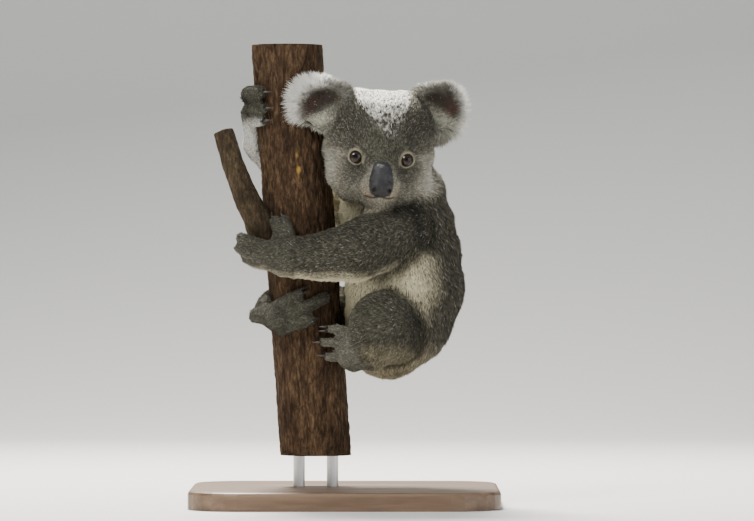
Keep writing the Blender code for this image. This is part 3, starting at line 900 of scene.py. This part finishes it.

# %% [markdown]
# An ear has its own layout, told by the distance and direction from its middle: a hollow
# that faces forward, its brown fur painted dark as shade, pale hairs that rise from the
# hollow's foot, a short inner rim, and a long white fringe on the outer side.

# %% The layout of the ears
HOLLOW_RADIUS = {"left": 20.5 * MM, "right": 21.5 * MM}
HOLLOW_SHIFT = {"left": (-1 * MM, 2 * MM), "right": (-4 * MM, -7 * MM)}  # outward and up
FOOT_FROM = {"left": -8 * MM, "right": 3 * MM}  # how far below the middle the pale hairs start
FRINGE_FROM = {"left": 0.25, "right": -0.6}  # how far round to the outer side the white starts
inner_ear, ear_foot, ear_rim, ear_outward, ear_white = np.zeros((5, len(skin_points)))
ear_way = np.zeros((len(skin_points), 3))
facing = skin_normals @ np.array(forward)
for side, way in (("left", 1), ("right", -1)):
    share = part_share[:, flesh.index("ear_" + side)]
    on_ear = share > 0.02
    reach = face_place(skin_points) - face_place(ear_middle[side][None])[0]
    out, rise = reach[:, 0] * way, reach[:, 2]
    disc = np.hypot(out, rise)
    outward = out / np.maximum(disc, MM)
    hollow_out, hollow_up = HOLLOW_SHIFT[side]
    off = np.hypot(out - hollow_out, rise - hollow_up) / HOLLOW_RADIUS[side]
    # The hollow, where brown fur is painted dark as shade.
    hollow_and_shade = share * step(-0.35, 0.2, facing) * (1 - step(0.82, 1.12, off))
    below = step(FOOT_FROM[side], FOOT_FROM[side] + 0.022, -rise - out * 0.55)
    foot = below * share * step(-0.5, 0.0, facing)
    inner_ear = np.maximum(inner_ear, hollow_and_shade * (1 - foot))
    ear_foot = np.maximum(ear_foot, foot * (1 - step(0.9, 1.3, off)))
    ear_rim = np.maximum(ear_rim, share * step(0.9, 1.25, off))
    ear_outward[on_ear] = outward[on_ear]
    ear_white[on_ear] = step(FRINGE_FROM[side], FRINGE_FROM[side] + 0.7, outward)[on_ear]
    radial = unit(np.stack([reach[:, 0], np.full(len(disc), -0.2) * disc, rise], 1))
    rising = unit(np.array([0.5 * way, 0.45, 0.75])[None])
    upright = np.maximum(ear_foot, 1 - step(3 * MM, 11 * MM, disc))
    wanted = radial + (rising * 1.4 - radial) * upright[:, None]
    ear_way[on_ear] = (unit(wanted) @ FACE_AXES)[on_ear]
print((inner_ear > 0.5).sum(), "points in the hollows,", (ear_rim > 0.5).sum(), "on the rims")

# %% [markdown]
# The skin's own material shows only through gaps in the coat, around the eyes and at the
# lips. Its colour comes from an attribute that holds the markings, darkened, because light
# seldom reaches the roots. A fine bump breaks up the bare places.

# %% Skin material and attributes
LID_PALE = np.array((0.33, 0.3, 0.21))
LID_EDGE = np.array((0.012, 0.009, 0.008))
NOSE_EDGE = np.array((0.03, 0.028, 0.026))
MOUTH_DARK = np.array((0.03, 0.016, 0.012))
ROOT_SHADE = 0.5
lip_mask = np.exp(-((mouth_gap + 0.7 * MM) / (0.9 * MM)) ** 2) * on_front * within
brightest = step(0.3, 1.0, above_eye)
lid_pale = step(1.5, 3.5, past_lid) * (1 - step(9 + 5 * brightest, 16 + 8 * brightest, past_lid))
lid_pale *= (0.6 + 0.4 * brightest) * (1 - step(13.5 * MM, 16 * MM, eye_away))
ear_colour = EAR_SHADED_BROWN + (EAR_RED - EAR_SHADED_BROWN) * step(0.35, 0.95, ear_outward)[:, None]
coat_colour = layered(
    markings(skin_points, skin_normals, share_of),
    (WHITE, ear_rim * (0.12 + 0.68 * ear_white)),
    # the ears' hollows: brown fur with painted shade
    (ear_colour, inner_ear),
    (EAR_PALE, ear_foot),
    (LID_PALE, lid_pale),
)
skin_colour = layered(
    coat_colour * ROOT_SHADE,
    (LID_PALE * 0.8, lid_pale),
    (LID_EDGE, 1 - step(1.5, 3.5, past_lid)),
    (LIP, lip_mask),
    (NOSE_EDGE, 1 - step(1.5 * MM, 3 * MM, pad_away)),
    (MOUTH_DARK, groove),
)
paint(skin_mesh, "coat", skin_colour)
hide = Graph("koala_skin", roughness=0.85)
hide.to_shader(hide.attribute("coat", "Color"))
hide.bump(hide.noise(hide.object_place(), 900.0, 4.0), 0.0003, 0.5)
print("skin painted from", round(float(skin_colour.min()), 3), "to",
      round(float(skin_colour.max()), 3))

# %% [markdown]
# ## The coat
#
# Each tuft is a slim closed spindle: a root under the skin, a three-cornered waist, and a
# tip. Six triangles each let the coat have a few hundred thousand of them. The lie of the
# coat runs from the nose back over the head, down the body, and out along each limb.

# %% The lie of the coat


def way_between(start, end):
    return np.array((middle_of(end) - middle_of(start)).normalized())


lie = {"torso": np.array((0.12, 0, -1.0)), "neck": np.array((0.25, 0.1, -1.0)),
       "head": np.zeros(3), "ear": np.zeros(3)}
for side in ("left", "right"):
    lie["upper_arm_" + side] = way_between("upper_arm_" + side, "forearm_" + side)
    lie["forearm_" + side] = way_between("forearm_" + side, "hand_" + side)
    lie["hand_" + side] = way_between("hand_" + side, f"claw_hand_{side}_ring")
    lie["thigh_" + side] = way_between("thigh_" + side, "shin_" + side)
    lie["shin_" + side] = way_between("shin_" + side, "foot_" + side)
    lie["foot_" + side] = way_between("foot_" + side, f"claw_foot_{side}_fourth_toe")
flow = blended(lie)
from_nose = unit(skin_points - np.array(from_face(0, 0.03, -0.03)))
flow += from_nose * share_of("head")[:, None]
flow = relaxed(flow, skin_edges, 10)
flow += (ear_way * 1.5 - flow) * share_of("ear")[:, None]
rise_at_ear = np.degrees(np.arcsin(np.clip((unit(flow) * skin_normals).sum(1), -1, 1)))
flow = unit(flow - (flow * skin_normals).sum(1)[:, None] * skin_normals)
print("the coat's lie is set at", len(flow), "points")

# %% [markdown]
# A tuft's length, width and lift follow the part it grows on: long and soft on the body,
# short and fine on the face and feet, and longest on the ears' rims, where it stands out.
# Density says how many tufts a place gets compared with the back, tousle how far its locks
# lean apart, and mottling how much they differ in shade.

# %% Length, width, lift and density
TUFT = {  # length and width in mm, lift in degrees, density, tousle in degrees, mottling
    "torso": (8.6, 0.9, 29, 0.9, 60, 1.0), "neck": (9, 0.9, 30, 1.1, 60, 1.0),
    "head": (4.6, 0.62, 28, 2.6, 50, 0.9), "ear": (9, 0.65, 20, 2.8, 40, 0.6),
    "upper_arm": (6.8, 0.82, 30, 1.3, 85, 1.1), "forearm": (6, 0.78, 28, 1.4, 80, 1.1),
    "hand": (4.6, 0.6, 19, 1.9, 45, 0.9), "thigh": (7.2, 0.82, 29, 1.25, 75, 1.0),
    "shin": (6, 0.78, 26, 1.3, 60, 1.0), "foot": (3.8, 0.52, 18, 2.4, 42, 0.9),
}
length, width, lift, density, tousle, mottling = blended(TUFT).T
ear_share = share_of("ear")
lift += (np.clip(rise_at_ear, 16, 80) - lift) * ear_share
short = share_of("head") * (1 - step(0.016, 0.066, muzzle_away))
on_face = share_of("head") * step(-0.02, 0.01, face_skin[:, 1])
length *= 1 - 0.66 * short
width *= 1 - 0.42 * np.maximum(short, 0.45 * on_face)
density *= 1 + 0.9 * short + 0.5 * on_face
fluff = share_of("head") * step(0.042, 0.056, np.abs(face_skin[:, 0]))
fluff *= (1 - step(0.0, 0.03, face_skin[:, 2])) * step(-0.07, -0.05, face_skin[:, 1])
length *= 1 + 0.7 * fluff
lift += 12 * fluff
around_eye = (1 - step(3, 34, past_lid)) * (1 - step(14 * MM, 20 * MM, eye_away))
length *= 1 - 0.55 * around_eye
fringe = ear_rim * (0.1 + 0.95 * step(-0.2, 0.9, ear_outward))
length *= 1 + 1.15 * fringe
length *= 1 - 0.62 * inner_ear
length *= 1 - 0.35 * ear_foot
pale_fur = step(0.2, 0.5, coat_colour.mean(1)) * share_of(("torso", "neck"))
density *= 1 + 0.6 * pale_fur
tousle *= 1 - 0.35 * pale_fur
bare = (past_lid < 2.5) | (lip_mask > 0.75) | (groove > 0.45)
density = np.where(bare, 0.0, density) * (1 - 0.6 * inner_ear)
print("tufts from", round(length.min(), 1), "to", round(length.max(), 1), "mm")

# %% [markdown]
# Roots are scattered over the skin's triangles by area and density. Where the skin is under
# the trunk, the branch, the nose pad or a claw, none grow.

# %% Where tufts can grow
COVER_REACH, COVER_GAP = 8 * MM, 0.4 * MM
rng = np.random.default_rng(7)
skin_mesh.calc_loop_triangles()
triangle_corners = rows_of(skin_mesh.loop_triangles, "vertices", 3, np.int32)
a, b, c = (skin_points[triangle_corners[:, i]] for i in range(3))
triangle_area = np.linalg.norm(np.cross(b - a, c - a), axis=1) / 2
triangle_part = part_index[triangle_corners[:, 0]]
blockers = [
    surface_tree(nodes[n].data) for n in nodes if n.startswith(("perch", "claw"))
] + [pad_tree]


def covered(points):
    """Which points lie on or under bark, claws or the nose pad."""
    hidden = np.zeros(len(points), bool)
    for index, point in enumerate(points):
        for tree in blockers:
            place, normal, _, _ = tree.find_nearest(Vector(point), COVER_REACH)
            if place and (Vector(point) - place).dot(normal) < COVER_GAP:
                hidden[index] = True
                break
    return hidden


grows = triangle_area * density[triangle_corners].min(1)
grows[covered(skin_points)[triangle_corners].any(1)] = 0
print(int(triangle_area.sum() / MM ** 2), "square mm of skin, of which",
      int(triangle_area[grows > 0].sum() / MM ** 2), "grow tufts")

# %% [markdown]
# The coat is several pieces, so that none is too heavy. Each gets a share of the tufts by
# what can grow on it, and the numbers below keep every piece under 33,000 tufts.

# %% Regions of the coat
ALL_TUFTS = 250000
MOST_TUFTS = 33000
triangle_middle = (a + b + c) / 3
triangle_left, triangle_ahead, _ = face_place(triangle_middle).T


def on(*starts):
    return np.array([name.startswith(starts) for name in flesh])[triangle_part]


front = triangle_ahead > -42 * MM
trunk_side = triangle_middle[:, 0] < 0.055
REGIONS = {
    "coat_face_left": on("head") & front & (triangle_left > 0),
    "coat_face_right": on("head") & front & (triangle_left <= 0),
    "coat_crown": on("head") & ~front,
    "coat_ear_left": on("ear_left"),
    "coat_ear_right": on("ear_right"),
    "coat_neck": on("neck"),
    "coat_belly": on("torso") & trunk_side,
    "coat_back": on("torso") & ~trunk_side,
    "coat_arm_left": on("upper_arm_left", "forearm_left"),
    "coat_arm_right": on("upper_arm_right", "forearm_right"),
    "coat_leg_left": on("thigh_left", "shin_left"),
    "coat_leg_right": on("thigh_right", "shin_right"),
    "coat_hands": on("hand"),
    "coat_feet": on("foot"),
}
tuft_counts = {
    name: min(MOST_TUFTS, int(ALL_TUFTS * grows[inside].sum() / grows.sum()))
    for name, inside in REGIONS.items()
}
print(tuft_counts)

# %% [markdown]
# Baking needs each tuft to have its own little patch of a texture. The skin of a region is
# unwrapped by its own shape, and a tuft's patch sits where its root is on that unwrap.

# %% Unwrapping the skin
PATCH = 0.003


def unwrap_of(inside):
    """Where each triangle corner of a region lies on an unwrap of its skin."""
    used, corners = np.unique(triangle_corners[inside], return_inverse=True)
    region = bpy.data.meshes.new("region")
    region.from_pydata(skin_points[used].tolist(), [], corners.reshape(-1, 3).tolist())
    holder = linked("region", region)
    bpy.context.view_layer.objects.active = holder
    holder.select_set(True)
    bpy.ops.object.mode_set(mode="EDIT")
    bpy.ops.mesh.select_all(action="SELECT")
    bpy.ops.uv.smart_project(angle_limit=math.radians(66), island_margin=0.003)
    bpy.ops.object.mode_set(mode="OBJECT")
    places = np.zeros((len(triangle_corners), 3, 2), np.float32)
    places[inside] = rows_of(region.uv_layers.active.data, "uv", 2).reshape(-1, 3, 2)
    bpy.data.objects.remove(holder)
    bpy.data.meshes.remove(region)
    return places


# %% [markdown]
# Fur lies in little locks. Tufts whose roots fall in the same small cell share a lean and a
# shade, and each then differs a bit on its own. The cell's number comes from a hash of its
# place, so neighbouring cells are unrelated.

# %% Locks
LOCK = 2.1 * MM
# The white flecks on the crown are partly a painted highlight.
FROST_LOCK = 2.8 * MM  # the white flecks on the crown
LOCK_TURN = np.array([[0.8, 0.36, 0.48], [-0.6, 0.48, 0.64], [0.0, -0.8, 0.6]])


def lock_value(points, seed, size=LOCK):
    """A number from 0 to 1 that is the same for all points in a small cell."""
    cell = np.floor(points @ LOCK_TURN / size)
    mixed_up = np.sin(cell @ np.array([12.9898, 78.233, 37.719]) + seed) * 43758.5453
    return mixed_up - np.floor(mixed_up)


# %% [markdown]
# Single tufts differ too: some are nearly black, some nearly white-tipped, and most lie
# between. That mix is what makes the coat look grizzled. Cream fur varies less. Every hair
# is darker at its root, where little light reaches.

# %% Colours of the tufts
DARK_SHARE, LIGHT_SHARE = 0.3, 0.28  # of the tufts that are darker and lighter than most
DARK_GAIN, LIGHT_GAIN, TIP_GAIN = 0.72, 1.32, 1.18


def tuft_colours(root, base, white_chance, mottled):
    """Colours of root, waist and tip for each tuft."""
    count = len(root)
    grizzle = np.clip(1.2 - base.mean(1) * 1.5, 0.25, 1) * mottled
    kind = rng.random(count)
    light = kind > 1 - LIGHT_SHARE
    gain = np.where(kind < DARK_SHARE, DARK_GAIN, np.where(light, LIGHT_GAIN, 1.0))
    shade = 0.5 + 1.05 * lock_value(root, 3.0)
    chance = np.exp(rng.normal(0, 0.12, count))
    waist = base * (1 + (gain * shade * chance - 1) * grizzle)[:, None]
    lock_frost = step(-0.22, 0.22, white_chance - lock_value(root, 8.0, FROST_LOCK))
    # Where white tips are thick, on the crown, they are whiter still: partly a painted highlight.
    crowned = step(0.2, 0.5, white_chance)
    white = rng.random(count) < white_chance + (lock_frost - white_chance) * crowned
    pale_tip = waist + (WHITE - waist) * (0.55 + 0.45 * crowned)[:, None]
    tip = np.where(white[:, None], pale_tip, waist * TIP_GAIN)
    pale_waist = waist * 0.65 + WHITE * (0.2 + 0.35 * crowned)[:, None]
    waist = np.where(white[:, None], pale_waist, waist)
    root_shade = 0.42 + 0.3 * step(0.2, 0.5, base.mean(1))[:, None]
    return np.clip(waist * root_shade, 0, 0.9), np.clip(waist, 0, 0.9), np.clip(tip, 0, 0.92)


# %% [markdown]
# A root lies at a random place in a triangle of the skin. A tuft's length, lift and lie are
# weighed between the triangle's corners by how near the root is to each.

# %% Roots


def scatter(inside, count):
    """Random roots in a region: their triangles, and the share of each corner."""
    chosen = np.flatnonzero(inside)
    picked = rng.choice(chosen, count, p=grows[chosen] / grows[chosen].sum())
    u, v = rng.random(count), rng.random(count)
    over = u + v > 1
    u[over], v[over] = 1 - u[over], 1 - v[over]
    return picked, np.stack([1 - u - v, u, v], 1)


def at_roots(values, picked, shares):
    """A skin value at each root, weighed between its triangle's corners."""
    corners = values[triangle_corners[picked]]
    if values.ndim == 1:
        return (corners * shares).sum(1)
    return (corners * shares[:, :, None]).sum(1)


# %% [markdown]
# Numpy lays all of a region's spindles at once. Each rises from the skin at its lift, turned
# by its lock, and bends down again beyond the waist, as hair does.

# %% The shape of a tuft
WAIST_AT = 0.42  # how far along the tuft its waist is
ROOT_SINK = 0.4 * MM
WAIST_LOW, WAIST_HIGH = -0.35, 0.75  # how far below and above the tuft's line, in half widths
LEAST_LIFT, MOST_LIFT = 6, 85  # degrees
SPINDLE = np.array([(0, 2, 1), (0, 3, 2), (0, 1, 3), (1, 2, 4), (2, 3, 4), (3, 1, 4)])


def spindles(picked, shares):
    """The five points of each tuft."""
    count = len(picked)
    root = at_roots(skin_points, picked, shares)
    normal = unit(at_roots(skin_normals, picked, shares))
    along = unit(at_roots(flow, picked, shares))
    side = np.cross(normal, along)
    spread = at_roots(tousle, picked, shares)
    lean = (lock_value(root, 1.0) - 0.5) * spread + rng.normal(0, 10, count)
    yaw = np.radians(lean)[:, None]
    along = along * np.cos(yaw) + side * np.sin(yaw)
    side = np.cross(normal, along)
    loose = (0.7 + 0.6 * lock_value(root, 5.0)) * np.exp(rng.normal(0, 0.15, count))
    angle = at_roots(lift, picked, shares) * loose
    angle = np.radians(np.clip(angle, LEAST_LIFT, MOST_LIFT))
    size = at_roots(length, picked, shares) * rng.uniform(0.72, 1.15, count) * MM
    half = at_roots(width, picked, shares) * rng.uniform(0.75, 1.2, count) * MM / 2

    def reach(bend, distance):
        bent = (angle * bend)[:, None]
        return (along * np.cos(bent) + normal * np.sin(bent)) * distance[:, None]

    waist = root + reach(1.0, size * WAIST_AT)
    tip = waist + reach(0.6, size * (1 - WAIST_AT))
    over = np.cross(side, along)
    low = over * (half * WAIST_LOW)[:, None]
    wide = side * half[:, None]
    return np.stack([
        root - normal * ROOT_SINK, waist - wide + low, waist + wide + low,
        waist + over * (half * WAIST_HIGH)[:, None], tip,
    ], 1)


def patch_places(places):
    """Each tuft's texture patch: three columns, root at the foot and tip at the top."""
    patch = np.zeros((6, 3, 2))
    for face, corners in enumerate(SPINDLE):
        across = 0
        for corner, point in enumerate(corners):
            if point in (0, 4):
                patch[face, corner] = ((face % 3 + 0.5) / 3, point / 4)
            else:
                patch[face, corner] = ((face % 3 + across) / 3, 0.5)
                across += 1
    spots = places[:, None, None, :] + (patch[None] - 0.5) * PATCH
    return np.clip(spots, 0, 1).astype(np.float32)


# %% [markdown]
# One mesh per region holds all its tufts, with a colour for each point and the places of
# their patches. The coat's material only reads that colour.

# %% The coat


def tufts(name, inside, count):
    """One coat piece: closed spindles over the skin of a region."""
    unwrap = unwrap_of(inside)
    picked, shares = scatter(inside, count)
    mesh = bpy.data.meshes.new(name)
    mesh.vertices.add(count * 5)
    mesh.vertices.foreach_set("co", spindles(picked, shares).astype(np.float32).ravel())
    faces = (np.arange(count)[:, None, None] * 5 + SPINDLE[None]).astype(np.int32)
    mesh.loops.add(count * 18)
    mesh.loops.foreach_set("vertex_index", faces.ravel())
    mesh.polygons.add(count * 6)
    mesh.polygons.foreach_set("loop_start", np.arange(0, count * 18, 3, dtype=np.int32))
    mesh.update(calc_edges=True)

    root = at_roots(skin_points, picked, shares)
    base = at_roots(coat_colour, picked, shares)
    dark, middle, light = tuft_colours(
        root, base, at_roots(frost, picked, shares), at_roots(mottling, picked, shares)
    )
    paint(mesh, "coat", np.stack([dark, middle, middle, middle, light], 1).reshape(-1, 3))
    layer = mesh.uv_layers.new(name="OFBake")
    spots = patch_places((unwrap[picked] * shares[:, :, None]).sum(1))
    layer.data.foreach_set("uv", spots.ravel())
    return piece(name, mesh, fur.material, "fur_grey")


fur = Graph("koala_fur", roughness=0.75, Specular_IOR_Level=0.2)
fur.to_shader(fur.attribute("coat", "Color"))
piece("skin", skin_mesh, hide.material, "fur_grey", *flesh)
for region_name, region_inside in REGIONS.items():
    region_count = tuft_counts[region_name] // 1
    tufts(region_name, region_inside, region_count)

# %% [markdown]
# ## Claws
#
# The frame's claws are plain bent cones of few faces. A copy of each is subdivided into a
# smooth hook, and all claws of a paw are one piece.

# %% Claws
horn = Graph("claw_horn", roughness=0.35, Specular_IOR_Level=0.5)
horn_grain = horn.noise(horn.object_place(), 500.0, 4.0)
horn.to_shader(horn.ramp(horn_grain, (0.35, (0.012, 0.01, 0.009)), (0.7, (0.045, 0.036, 0.03))))
for paw in PAWS:
    names = [n for n in nodes if n.startswith("claw_" + paw)]
    claw_mesh = joined_mesh("claws_" + paw, [closed_copy(n) for n in names])
    claws = piece("claws_" + paw, claw_mesh, horn.material, "claw_horn", *names)
    smooth = claws.modifiers.new("smooth", "SUBSURF")
    smooth.levels = smooth.render_levels = 1

# %% [markdown]
# ## The perch
#
# The trunk leans, and the frame's own solid says where: the middles of its lowest and
# highest rings of points give its foot, its top and its radius.

# %% The trunk's place
trunk_low, trunk_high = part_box("perch_trunk")
trunk_points = points_of(nodes["perch_trunk"].data)
foot_ring = trunk_points[trunk_points[:, 2] < trunk_low.z + 1 * MM]
top_ring = trunk_points[trunk_points[:, 2] > trunk_high.z - 1 * MM]
trunk_foot = (foot_ring.min(0) + foot_ring.max(0)) / 2
trunk_top = (top_ring.min(0) + top_ring.max(0)) / 2
trunk_radius = (foot_ring.max(0)[1] - foot_ring.min(0)[1]) / 2
print("trunk radius", round(trunk_radius / MM, 1), "mm")

# %% [markdown]
# Its bark is rough and fibrous. The furrows and plates are real: a fine upright cylinder is
# leaned to follow that line, and noise stretched along the grain moves its surface. One long
# fissure runs down from the top on the left. The finest fibres are left to the material's
# bump.

# %% The trunk's relief
TRUNK_AROUND, TRUNK_UP = 220, 230  # faces round it and up it
FISSURE_ANGLE, FISSURE_END = math.radians(-158), 0.4
SCARS = ((-0.057, 0.413, 0.012), (-0.055, 0.401, 0.008), (-0.056, 0.393, 0.006))  # x, z, size


def noise_at(points, scale, along):
    """Perlin noise whose pattern is stretched along z."""
    return np.array([noise.noise(Vector(p)) for p in points * np.array([scale, scale, along])])


def bark_relief(points, angle, share):
    """How far the bark stands out or in, in metres."""
    warp = noise_at(points, 26, 14) * 0.012
    ground = points + warp[:, None] * np.array([1, 1, 0])
    plates = 1 - 2.2 * np.abs(noise_at(ground, 78, 17))
    ridges = 1 - 2.2 * np.abs(noise_at(ground + 3, 165, 42))
    grains = noise_at(points + 7, 260, 130)
    wander = 0.16 * np.sin(share * 21) + 0.09 * np.sin(share * 47)
    off = np.angle(np.exp(1j * (angle - FISSURE_ANGLE - wander))) / 0.075
    fissure = np.exp(-off ** 2) * step(FISSURE_END, FISSURE_END + 0.12, share)
    return (1.3 * np.tanh(1.6 * plates) + 0.8 * ridges + 0.8 * grains - 1.2 - 4.2 * fissure) * MM


def trunk_mesh():
    bm = bmesh.new()
    height = trunk_high.z - trunk_low.z
    bmesh.ops.create_cone(bm, cap_ends=True, segments=TRUNK_AROUND, radius1=trunk_radius,
                          radius2=trunk_radius, depth=height)
    upright = [e for e in bm.edges if abs(e.verts[0].co.z - e.verts[1].co.z) > MM]
    bmesh.ops.subdivide_edges(bm, edges=upright, cuts=TRUNK_UP - 1, use_grid_fill=True)
    mesh = mesh_of("trunk_bark", bm)
    points = points_of(mesh)
    share = points[:, 2] / height + 0.5
    angle = np.arctan2(points[:, 1], points[:, 0])
    out = trunk_radius + bark_relief(points, angle, share)
    middle = trunk_foot + (trunk_top - trunk_foot) * share[:, None]
    points = middle + np.stack([np.cos(angle) * out, np.sin(angle) * out, 0 * out], 1)
    move_points(mesh, points)
    scar = np.zeros(len(points))
    for x, z, size in SCARS:
        away = np.hypot((points[:, 0] - x) * 2.2, points[:, 2] - z)
        scar = np.maximum(scar, (points[:, 1] < 0) * (1 - step(size * 0.3, size, away)))
    scar *= step(-0.25, 0.3, noise_at(points, 210, 120))
    store(mesh, "scar", scar)
    store(mesh, "cut", [len(p.vertices) > 4 for p in mesh.polygons], "FACE")
    return mesh


# %% [markdown]
# The bark's material mixes red-brown and grey-brown by broad patches, with dark cracks that
# run with the grain. The sawn ends show growth rings round the trunk's own axis.

# %% Bark and sawn wood


def bark_material(name, dark, middle, light, crack_shade, fibre_scale, stretch, turn):
    """Fibrous bark. Returns its graph, colour and height, for more to be mixed in."""
    graph = Graph(name, roughness=0.95, Specular_IOR_Level=0.15)
    place = graph.object_place((1, 1, stretch), turn)
    fibres = graph.noise(place, fibre_scale, 8.0, 0.75)
    broad = graph.noise(graph.object_place((1, 1, 0.4), turn), 38.0, 6.0, 0.65)
    drift = graph.add("TexNoise", {"Vector": place, "Scale": 70.0, "Detail": 5.0})
    drifted = graph.add("VectorMath", {
        0: drift.outputs["Color"], 1: (0.03, 0.03, 0.03), 2: place,
    }, operation="MULTIPLY_ADD").outputs[0]
    cracks = graph.add("TexVoronoi", {"Vector": drifted, "Scale": 85.0},
                       feature="DISTANCE_TO_EDGE").outputs["Distance"]
    crack_shade = graph.ramp(cracks, (0.0, (crack_shade,) * 3), (0.12, (1, 1, 1)))
    tone = graph.ramp(fibres, (0.32, dark), (0.5, middle), (0.68, light))
    patches = graph.ramp(broad, (0.35, (0, 0, 0)), (0.65, (1, 1, 1)))
    mottled = graph.mix(patches, (0.55, 0.5, 0.48, 1), (1.25, 1.2, 1.1, 1))
    for layer in (mottled, crack_shade):
        tone = graph.mix(1.0, tone, layer, "MULTIPLY")
    height = graph.add("Math", {0: fibres, 1: crack_shade}, operation="MULTIPLY").outputs[0]
    return graph, tone, height


grain_turn = (0, math.atan2(trunk_foot[0] - trunk_top[0], trunk_top[2] - trunk_foot[2]), 0)
bark, bark_tone, bark_height = bark_material(
    "stringy_bark", (0.018, 0.0115, 0.007), (0.062, 0.038, 0.022), (0.14, 0.092, 0.056),
    0.5, 300.0, 0.26, grain_turn,
)
bark_tone = bark.mix(bark.attribute("scar"), bark_tone, (0.32, 0.19, 0.05, 1))
heart = bark.add("Mapping", {
    "Vector": bark.object_place(), "Location": (-float(trunk_top[0]), 0, 0), "Scale": (1, 1, 0),
}).outputs[0]
rings = bark.add("TexWave", {
    "Vector": heart, "Scale": 85.0, "Distortion": 2.5, "Detail": 3.0,
}, wave_type="RINGS", rings_direction="Z").outputs["Fac"]
sawn = bark.ramp(rings, (0.2, (0.42, 0.27, 0.15)), (0.8, (0.27, 0.15, 0.075)))
bark.to_shader(bark.mix(bark.attribute("cut"), bark_tone, sawn))
bark.bump(bark_height, 0.0022, 0.9)
piece("trunk_bark", trunk_mesh(), bark.material, "bark", "perch_trunk")

# %% [markdown]
# The branch is a younger, smoother limb. It keeps the frame's shape, remeshed and given
# slight swellings, and its bark is a tighter version of the trunk's.

# %% Branch
branch_mesh = voxelled("branch_bark", [closed_copy("perch_branch")], 1.6 * MM)
rounded(branch_mesh, 8)
branch_points = points_of(branch_mesh)
swelling = noise_at(branch_points, 55, 40) * 1.6 + noise_at(branch_points + 5, 190, 110) * 0.7
move_points(branch_mesh, branch_points + normals_of(branch_mesh) * swelling[:, None] * MM)
young, young_tone, young_height = bark_material(
    "young_bark", (0.018, 0.013, 0.008), (0.042, 0.031, 0.019), (0.09, 0.068, 0.045),
    0.8, 280.0, 0.35, (0, math.radians(-25), 0),
)
young.to_shader(young_tone)
young.bump(young_height, 0.001, 0.7)
piece("branch_bark", branch_mesh, young.material, "bark", "perch_branch")

# %% [markdown]
# ## The stand
#
# Base and rods have their right shape in the frame already, so only their finish changes:
# oiled dark wood with long grain, and brushed steel.

# %% Stand
oak = Graph("stand_wood", roughness=0.45)
rings = oak.noise(oak.object_place((0.18, 2.4, 2.4)), 26.0, 5.0, 0.6)
pores = oak.noise(oak.object_place((0.03, 1, 1)), 900.0, 3.0)
oak.to_shader(oak.ramp(
    rings, (0.3, (0.075, 0.042, 0.024)), (0.5, (0.14, 0.085, 0.05)), (0.7, (0.22, 0.14, 0.085)),
))
oak.bump(pores, 0.0003, 0.4)
steel = Graph("stand_steel", roughness=0.32, Metallic=1.0, Base_Color=(0.6, 0.6, 0.6, 1))
steel.bump(steel.noise(steel.object_place((60, 60, 1)), 40.0, 2.0), 0.0001, 0.3)
for node_name, finish in (
    ("stand_base", oak), ("stand_rod_left", steel), ("stand_rod_right", steel),
):
    nodes[node_name].material_slots[0].material = finish.material
print("stand finished")
